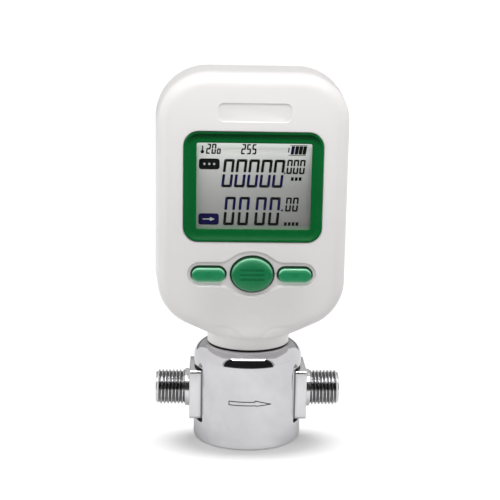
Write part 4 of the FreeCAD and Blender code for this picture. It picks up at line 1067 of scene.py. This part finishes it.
# ----------------------------------------------------------- plated cover
def shoulder_profile():
    """(r, z) of the cover's section, outside first, then back inside."""
    P = [(BASE_R - 0.5, 0.0), (BASE_R - 0.146, 0.146), (BASE_R, 0.5)]
    P = [(BASE_R - 0.5 + 0.5 * math.sin(math.radians(a)), 0.5 - 0.5 * math.cos(math.radians(a))) for a in range(0, 91, 15)]
    zs = [1.5, 6.0, 12.0, 18.0, 24.0, 29.0]
    P += [(BASE_R, z) for z in zs]
    R, r = BASE_R - BASE_FILLET, BASE_FILLET
    P += [(R + r * math.cos(math.radians(a)), BASE_H - r + r * math.sin(math.radians(a))) for a in np.linspace(0, 90, 31)]
    P += [(12.0, BASE_H), (6.3, BASE_H), (6.3, BASE_H - BASE_WALL), (12.0, BASE_H - BASE_WALL)]
    r2 = BASE_FILLET - BASE_WALL
    P += [(BASE_R - BASE_WALL - r2 + r2 * math.cos(math.radians(a)), BASE_H - BASE_WALL - r2 + r2 * math.sin(math.radians(a))) for a in np.linspace(90, 0, 10)]
    P += [(BASE_R - BASE_WALL, 20.0), (BASE_R - BASE_WALL, 0.0)]
    return P


def cover_normal_at(P, F):
    r = np.hypot(P[:, 0], P[:, 1])
    out = np.zeros(P.shape)
    rad = np.stack([P[:, 0] / np.maximum(r, 1e-6), P[:, 1] / np.maximum(r, 1e-6), np.zeros(len(r))], 1)
    c, f = BASE_R - BASE_FILLET, BASE_FILLET
    wall = (np.abs(r - BASE_R) < 0.03) & (P[:, 2] > 0.45) & (P[:, 2] < BASE_H - f + 0.001)
    d = np.stack([(r - c), P[:, 2] - (BASE_H - f)], 1)
    dist = np.hypot(d[:, 0], d[:, 1])
    fil = (np.abs(dist - f) < 0.04) & (P[:, 2] >= BASE_H - f) & (r >= c - 1e-3)
    top = (P[:, 2] > BASE_H - 0.01) & (r < c)
    out[wall] = rad[wall]
    k = d / np.maximum(dist, 1e-6)[:, None]
    out[fil] = rad[fil] * k[fil, 0:1] + np.array([0, 0, 1.0]) * k[fil, 1:2]
    out[top] = (0, 0, 1)
    return out, wall | fil | top


def groove(points, width, depth):
    """A cut along an open or closed line drawn on the cover's front, in (angle, z)."""
    segs = []
    for (a0, z0), (a1, z1) in zip(points[:-1], points[1:]):
        s0, s1 = math.radians(a0) * BASE_R, math.radians(a1) * BASE_R
        L = math.hypot(s1 - s0, z1 - z0)
        ux, uz = (s1 - s0) / L, (z1 - z0) / L
        nx, nz = -uz * width / 2, ux * width / 2
        n = max(2, int(L / 0.8) + 1)
        rings = []
        for i in range(n + 1):
            t = -width / 2 / L + (1 + width / L) * i / n
            s, z = s0 + (s1 - s0) * t, z0 + (z1 - z0) * t
            ring = []
            for dn, dr in ((1, 0.4), (-1, 0.4), (-1, -depth), (1, -depth)):
                ang = (s + dn * nx) / BASE_R
                rr = BASE_R + dr
                ring.append((rr * math.sin(ang), -rr * math.cos(ang), z + dn * nz))
            rings.append(ring)
        segs.append(rings_to_solid("g", rings))
    out = segs[0]
    for s in segs[1:]:
        out = boolean(out, s, "UNION")
    return out


def plated_cover():
    cov = lathe("plated_cover", shoulder_profile(), 360)
    for s in (-1, 1):
        a, b = sorted((s * 15.0, s * 30.0))
        cut = rings_to_solid("w", [[(x, y, z) for y, z in win] for x in (a, b)
                                   for win in [rounded([(-WINDOW_HALF_Y, WINDOW_Z0), (WINDOW_HALF_Y, WINDOW_Z0), (WINDOW_HALF_Y, WINDOW_Z1), (-WINDOW_HALF_Y, WINDOW_Z1)], WINDOW_R, 6)]])
        cov = boolean(cov, cut)
    for x, y in ((-9.5, -5.0), (9.5, -5.0), (-9.5, 5.0), (9.5, 5.0)):
        cov = boolean(cov, cyl_cutter("b", 2.6, "z", (x, y), 27.2, BASE_H - 1.0, 40), "UNION")
        cov = boolean(cov, cyl_cutter("b", 1.4, "z", (x, y), 26.0, BASE_H + 1.0, 32))
    # flow arrow, a fine engraved outline on the front
    arrow = [(-21.0, 17.27), (-21.0, 18.62), (6.0, 18.66), (6.4, 19.12), (23.3, 17.46), (8.0, 17.10), (6.8, 17.26), (-21.0, 17.27)]
    cov = boolean(cov, groove(arrow, 0.36, 0.16))
    cov.data.materials.clear()
    cov.data.materials.append(MAT["chrome"])
    cov.data.materials.append(MAT["arrow"])
    cov.data.materials.append(MAT["unplated"])
    for p in cov.data.polygons:
        c = p.center / MM
        r = math.hypot(c.x, c.y)
        mark = BASE_R - 0.3 < r < BASE_R - 0.012 and c.y < -17 and 16.0 < c.z < 20.2 and abs(c.x) < 9.5
        # the inside faces and the window cuts take the near-black finish, which is partly painted shade
        inner = (r < BASE_R - BASE_WALL + 0.02 and c.z < BASE_H - BASE_WALL + 0.02) or (r < BASE_R - 0.10 and 7.0 < c.z < 28.5 and not mark)
        p.material_index = 1 if mark else (2 if inner else 0)
    sharp_by_angle(cov, 26)
    analytic_normals(cov, cover_normal_at, 12.0)
    cov.name = "plated_cover"
    finish_piece(cov, "housing", "base_cover", "plated_base")
    return cov


# --------------------------------------------------------------- flow bar
def thread_profile(u):
    """Depth below the crest of a 55 degree rounded thread, u in turns."""
    H = 0.960491 * PITCH
    h = 0.640327 * PITCH
    r = 0.137329 * PITCH
    x = abs((u + 0.5) % 1.0 - 0.5) * PITCH       # distance from the crest's middle
    half = math.radians(27.5)
    flat = H / 6
    y = x / math.tan(half) - flat
    xc = r * math.cos(half)
    if x < xc:
        y = r - math.sqrt(max(r * r - x * x, 0.0))
    elif x > PITCH / 2 - xc:
        q = PITCH / 2 - x
        y = h - (r - math.sqrt(max(r * r - q * q, 0.0)))
    return min(max(y - 0.07, 0.0), h)


def threaded_end(s, tight=False):
    n = 176
    step = PITCH / 16
    x0, x1 = COLLAR_X1 - 1.2, PORT_X1
    xs = list(np.arange(x0, x1, step)) + [x1]
    depth_at = [thread_profile(u / 400.0) for u in range(401)]
    rings = []
    for x in xs:
        ring = []
        cone = THREAD_R + 0.02 - max(0.0, x - (PORT_X1 - 1.15)) * 0.84
        run_in = min(1.0, max(0.0, (x - (COLLAR_X1 + 0.05)) / (PITCH * 0.30)))
        for k in range(n):
            th = 2 * math.pi * k / n
            u = (x / PITCH - (th / (2 * math.pi)) * 1.0) % 1.0
            d = depth_at[int(u * 400 + 0.5) % 401]
            rr = THREAD_R - 0.03 - d * run_in if run_in < 1 else THREAD_R - d
            rr = min(rr, cone)
            yy, zz = rr * math.cos(th), rr * math.sin(th)
            ring.append((s * x, yy if s > 0 else yy, AXIS_Z + zz))
        rings.append(ring)
    return rings_to_solid("thread", rings)


def chamfer_box(x, y, z0, z1, b, end_b):
    """Square bar along X: long edges chamfered, end edges broken a little."""
    bm = bmesh.new()
    bmesh.ops.create_cube(bm, size=1.0)
    for v in bm.verts:
        v.co = Vector((v.co.x * 2 * x, v.co.y * 2 * y, (z0 + z1) / 2 + v.co.z * (z1 - z0))) * MM
    run = lambda e: abs(e.verts[0].co.x - e.verts[1].co.x)
    bmesh.ops.bevel(bm, geom=[e for e in bm.edges if run(e) > x * MM], offset=b * MM, segments=1, profile=0.5, affect="EDGES", clamp_overlap=True)
    for v in bm.verts:
        top = abs(abs(v.co.z - (z0 + z1) / 2 * MM) - (z1 - z0) / 2 * MM) < 1e-6
        if top:
            v.co.y += math.copysign(0.15 * MM, v.co.y)
        else:
            v.co.z -= math.copysign(0.16 * MM, v.co.z - (z0 + z1) / 2 * MM)
    bmesh.ops.bevel(bm, geom=[e for e in bm.edges if run(e) < 1e-7], offset=end_b * MM, segments=1, profile=0.5, affect="EDGES", clamp_overlap=True)
    bmesh.ops.bevel(bm, geom=list(bm.edges), offset=0.07 * MM, segments=2, profile=0.6, affect="EDGES", clamp_overlap=True)
    me = bpy.data.meshes.new("bar")
    bm.to_mesh(me)
    bm.free()
    ob = bpy.data.objects.new("bar", me)
    bpy.context.scene.collection.objects.link(ob)
    return fix_normals(ob)


def flow_bar():
    bar = chamfer_box(BAR_X, BAR_Y, BAR_Z0, BAR_Z1, 0.75, 0.28)
    for s in (-1, 1):
        a, b = sorted((s * BAR_RELIEF_Y, s * (BAR_Y + 2)))
        bar = boolean(bar, box_cutter("relief", -BAR_RELIEF_X, BAR_RELIEF_X, a, b, BAR_Z0 - 2, BAR_Z1 + 2))
    for s in (-1, 1):
        rings = []
        for x, r in ((BAR_X - 1.5, COLLAR_R), (COLLAR_X1 - 0.30, COLLAR_R), (COLLAR_X1 - 0.09, COLLAR_R - 0.09), (COLLAR_X1, COLLAR_R - 0.30)):
            rings.append([(s * x, r * math.cos(2 * math.pi * k / 144), AXIS_Z + r * math.sin(2 * math.pi * k / 144)) for k in range(144)])
        bar = boolean(bar, rings_to_solid("collar", rings), "UNION")
        bar = boolean(bar, threaded_end(s), "UNION")
        rings = []
        for x, r in ((BORE_STEP_X, BORE_R), (PORT_X1 - 0.5, BORE_R), (PORT_X1 + 0.3, BORE_R + 0.8)):
            rings.append([(s * x, r * math.cos(2 * math.pi * k / 96), AXIS_Z + r * math.sin(2 * math.pi * k / 96)) for k in range(96)])
        bar = boolean(bar, rings_to_solid("bore", rings))
    bar = boolean(bar, cyl_cutter("b", BORE_INNER_R, "x", (0, AXIS_Z), -16.0, 16.0, 64))
    bar = boolean(bar, cyl_cutter("b", 3.0, "z", (0, 0), AXIS_Z, BAR_Z1 + 1, 64))
    bar = boolean(bar, cyl_cutter("b", 5.15, "z", (0, 0), BAR_Z1 - 1.5, BAR_Z1 + 1, 64))
    for x, y in ((-9.5, -5.0), (9.5, -5.0), (-9.5, 5.0), (9.5, 5.0)):
        bar = boolean(bar, cyl_cutter("b", 1.2, "z", (x, y), BAR_Z1 - 4.6, BAR_Z1 + 1, 32))
    for s in (-1, 1):
        bar = boolean(bar, cyl_cutter("b", 0.85, "z", (0, s * 6.4), BAR_Z1 - 4.0, BAR_Z1 + 1, 24))
        bar = boolean(bar, cyl_cutter("b", 1.25, "z", (s * 12.0, 0), BAR_Z0 - 1, BAR_Z0 + 4.6, 32))
    bar.name = "threaded_bar"
    sharp_by_angle(bar, 38)
    bar.data.materials.clear()
    bar.data.materials.append(MAT["steel"])
    finish_piece(bar, "housing", "flow_body", "flow_steel")
    return bar


plated_cover()
flow_bar()

# ------------------------------------------------------------------- stage
BOUNCE, BOUNCE_EMIT = 0.36, 0.170


def stage_mesh(name, verts, faces, color, emit=0.0, rough=0.7):
    me = bpy.data.meshes.new(name)
    me.from_pydata(verts, [], faces)
    me.update()
    ob = bpy.data.objects.new(name, me)
    bpy.context.scene.collection.objects.link(ob)
    g = Graph(name)
    g.link(g.mix(g.remap(g.noise(3.0), 0.3, 0.7, 0.0, 1.0), scaled(color, 0.995), color), g.bsdf.inputs["Base Color"])
    g.set(Roughness=rough)
    if emit:
        g.bsdf.inputs["Emission Color"].default_value = (1, 1, 1, 1)
        g.bsdf.inputs["Emission Strength"].default_value = emit
    me.materials.append(g.mat)
    return ob


def disc(r0, r1, z, a0=0.0, a1=360.0, n=96):
    verts, faces = [], []
    for i in range(n + 1):
        a = math.radians(a0 + (a1 - a0) * i / n)
        for r in (r0, r1):
            verts.append((r * math.sin(a), -r * math.cos(a), z))
    for i in range(n):
        b = 2 * i
        faces.append((b, b + 2, b + 3, b + 1) if r0 > 0 else (b, b + 2, b + 3, b + 1))
    return verts, faces


def only(ob, *kinds):
    """Limits what kinds of ray see a stage piece."""
    for k in ("camera", "diffuse", "glossy", "transmission", "shadow", "volume_scatter"):
        setattr(ob, "visible_" + k, k in kinds)
    return ob


# pale table top; the light it sends back is held down by a greyer sheet
v, f = disc(0.0001, 3.0, -0.0002)
table = stage_mesh("floor", v, f, (0.55, 0.55, 0.55, 1.0), emit=0.4, rough=0.9)
g = Graph("floor")
g.set(Roughness=0.9)
g.bsdf.inputs["Specular IOR Level"].default_value = 0.1
g.link(g.mix(g.remap(g.noise(3.0), 0.3, 0.7, 0.0, 1.0), (0.545, 0.545, 0.545, 1.0), (0.55, 0.55, 0.55, 1.0)), g.bsdf.inputs["Base Color"])
# painted shadow: the table glows least close to the object
xx, yy = g.axis(0), g.axis(1)
dist = g.math("SQRT", g.math("ADD", g.math("MULTIPLY", xx, xx), g.math("MULTIPLY", yy, yy)))
g.link(g.remap(dist, 0.021, 0.045, 0.12, 0.54, True), g.bsdf.inputs["Emission Strength"])
g.bsdf.inputs["Emission Color"].default_value = (1, 1, 1, 1)
table.data.materials[0] = g.mat
only(table, "camera", "transmission")
v, f = disc(0.0001, 3.0, -0.0004)
mirrored = stage_mesh("floor_mirrored", v, f, (0.55, 0.55, 0.55, 1.0), emit=0.5, rough=0.9)
g = Graph("floor_mirrored")
g.set(Roughness=0.9)
g.link(g.mix(g.remap(g.noise(3.0), 0.3, 0.7, 0.0, 1.0), (0.545, 0.545, 0.545, 1.0), (0.55, 0.55, 0.55, 1.0)), g.bsdf.inputs["Base Color"])
# painted shadow, seen only in reflections: the glow is lower close to the object and under the bar
xx, yy = g.axis(0), g.axis(1)
dist = g.math("SQRT", g.math("ADD", g.math("MULTIPLY", xx, xx), g.math("MULTIPLY", yy, yy)))
under = g.math("MULTIPLY", g.remap(g.math("ABSOLUTE", xx), 0.013, 0.021, 0.0, 0.14), g.remap(dist, 0.024, 0.038, 1.0, 0.0, True))
g.link(g.math("SUBTRACT", g.math("ADD", g.remap(dist, 0.020, 0.026, 0.22, 0.41), g.remap(dist, 0.030, 0.080, 0.0, 0.08)), under), g.bsdf.inputs["Emission Strength"])
g.bsdf.inputs["Emission Color"].default_value = (1, 1, 1, 1)
mirrored.data.materials[0] = g.mat
only(mirrored, "glossy")
v, f = disc(0.0001, 3.0, -0.0006)
only(stage_mesh("floor_bounce", v, f, (BOUNCE, BOUNCE, BOUNCE, 1.0), emit=BOUNCE_EMIT, rough=0.9), "diffuse")
# painted shadow: the table fades to white away from the object, outside an oval a little in front of it
v, f = disc(0.0001, 3.0, 0.0002)
fade = stage_mesh("floor_fade", v, f, (0.9, 0.9, 0.9, 1.0))
g = Graph("floor_fade")
fore = g.math("ABSOLUTE", g.math("ADD", g.axis(1), 0.0135))
xx, yy = g.math("MULTIPLY", g.math("ADD", g.axis(0), -0.0005), 0.91), g.math("MULTIPLY", fore, 2.05)
dist = g.math("SQRT", g.math("ADD", g.math("MULTIPLY", xx, xx), g.math("MULTIPLY", yy, yy)))
clear = g.node("ShaderNodeBsdfTransparent")
glow = g.node("ShaderNodeEmission")
glow.inputs["Strength"].default_value = 1.08
blend = g.node("ShaderNodeMixShader")
g.link(g.remap(dist, 0.0185, 0.044, 0.0, 1.0, True), blend.inputs[0])
g.link(clear.outputs[0], blend.inputs[1])
g.link(glow.outputs[0], blend.inputs[2])
g.link(blend.outputs[0], g.out.inputs[0])
g.tree.nodes.remove(g.bsdf)
fade.data.materials[0] = g.mat
only(fade, "camera")

# a white surround that only the camera sees, far behind everything
bm = bmesh.new()
bmesh.ops.create_uvsphere(bm, u_segments=48, v_segments=24, radius=3.2)
me = bpy.data.meshes.new("surround")
bm.to_mesh(me)
bm.free()
surround = bpy.data.objects.new("surround", me)
bpy.context.scene.collection.objects.link(surround)
g = Graph("surround")
g.set(Roughness=1.0)
g.bsdf.inputs["Base Color"].default_value = (0, 0, 0, 1)
g.bsdf.inputs["Emission Color"].default_value = (1, 1, 1, 1)
g.bsdf.inputs["Emission Strength"].default_value = 1.1
me.materials.append(g.mat)
only(surround, "camera")


def dark_card(name, verts, faces):
    ob = stage_mesh(name, verts, faces, (0.012, 0.012, 0.013, 1.0), rough=0.9)
    return only(ob, "glossy")


# the unlit studio in front of the table: it shows in the bright metal only
v, f = disc(0.20, 1.5, 0.0006, -52.0, 52.0, 48)
dark_card("dark_front_low", v, f)
def dome_patch(radius, az0, az1, el0, el1, N=40, M=16):
    verts, faces = [], []
    for j in range(M + 1):
        el = math.radians(el0 + (el1 - el0) * j / M)
        for i in range(N + 1):
            a = math.radians(az0 + (az1 - az0) * i / N)
            verts.append((radius * math.cos(el) * math.sin(a), -radius * math.cos(el) * math.cos(a), 0.03 + radius * math.sin(el)))
    for j in range(M):
        for i in range(N):
            b = j * (N + 1) + i
            faces.append((b, b + 1, b + N + 2, b + N + 1))
    return verts, faces


v, f = dome_patch(1.5, -52.0, 52.0, -2.0, 58.0)
dark_card("dark_front_high", v, f)
# white walls at the two sides, again for the metal only
for name, az0, az1 in (("bright_right", 56.0, 148.0), ("bright_left", -148.0, -56.0)):
    v, f = dome_patch(1.55, az0, az1, -1.0, 66.0)
    only(stage_mesh(name, v, f, (0.0, 0.0, 0.0, 1.0), emit=0.92, rough=1.0), "glossy")

v, f = dome_patch(1.6, 142.0, 218.0, -3.0, 9.0)
only(stage_mesh("dim_back", v, f, (0.0, 0.0, 0.0, 1.0), emit=0.20, rough=1.0), "glossy")

# ------------------------------------------------------------------- light


def area(name, loc, target, size, power, size_y=None):
    L = bpy.data.lights.new(name, "AREA")
    L.energy = power
    L.shape = "RECTANGLE"
    L.size = size
    L.size_y = size_y or size
    ob = bpy.data.objects.new(name, L)
    ob.location = loc
    ob.rotation_mode = "QUATERNION"
    ob.rotation_quaternion = (Vector(target) - Vector(loc)).to_track_quat("-Z", "Y")
    bpy.context.scene.collection.objects.link(ob)
    return ob


only(area("softbox_top", (0.0, -0.175, 0.56), (0.0, -0.06, 0.07), 0.62, 4.2, 0.37), "glossy")
only(area("key_near", (0.0, -0.13, 0.24), (0.0, -0.02, 0.11), 0.24, 0.212, 0.06), "diffuse", "shadow")
only(area("side_left", (-1.3, -0.35, 0.55), (0, 0, 0.07), 0.9, 1.9), "diffuse", "shadow")
only(area("side_right", (1.3, -0.35, 0.55), (0, 0, 0.07), 0.9, 1.9), "diffuse", "shadow")
only(area("back_left", (-0.9, 0.75, 0.40), (0, 0, 0.07), 0.8, 1.85), "diffuse", "shadow")
only(area("back_right", (0.9, 0.75, 0.40), (0, 0, 0.07), 0.8, 1.85), "diffuse", "shadow")
only(area("side_low_left", (-0.46, -0.12, -0.14), (0, 0, 0.06), 0.5, 0.82, 0.10), "diffuse", "shadow")
only(area("side_low_right", (0.46, -0.12, -0.14), (0, 0, 0.06), 0.5, 0.66, 0.10), "diffuse", "shadow")

L = bpy.data.lights.new("neck_spot", "SPOT")
L.energy, L.spot_size, L.spot_blend, L.shadow_soft_size = 3.6, math.radians(3.0), 1.0, 0.02
spot = bpy.data.objects.new("neck_spot", L)
spot.location = (0.0, -0.50, 0.02)
spot.rotation_mode = "QUATERNION"
spot.rotation_quaternion = (Vector((0.0, -0.0155, 0.0345)) - Vector(spot.location)).to_track_quat("-Z", "Y")
bpy.context.scene.collection.objects.link(spot)
spot.scale = (1.6, 1.0, 1.0)
only(spot, "diffuse", "shadow")

world = bpy.data.worlds.new("world")
bpy.context.scene.world = world
world.use_nodes = True
nt = world.node_tree
nt.nodes.clear()
wo = nt.nodes.new("ShaderNodeOutputWorld")
bg = nt.nodes.new("ShaderNodeBackground")
tc = nt.nodes.new("ShaderNodeTexCoord")
sp = nt.nodes.new("ShaderNodeSeparateXYZ")
mr = nt.nodes.new("ShaderNodeMapRange")
nt.links.new(tc.outputs["Generated"], sp.inputs[0])
nt.links.new(sp.outputs[2], mr.inputs[0])
for k, v in zip((1, 2, 3, 4), (-0.2, 0.9, 0.455, 0.47)):
    mr.inputs[k].default_value = v
nt.links.new(mr.outputs[0], bg.inputs["Strength"])
bg.inputs["Color"].default_value = (1.0, 0.997, 0.99, 1.0)
nt.links.new(bg.outputs[0], wo.inputs[0])

vs = bpy.context.scene.view_settings
vs.view_transform = "Standard"
vs.look = "None"
vs.exposure = 0.0
vs.gamma = 1.0

# -------------------------------------------------------------------- done
bpy.context.view_layer.update()
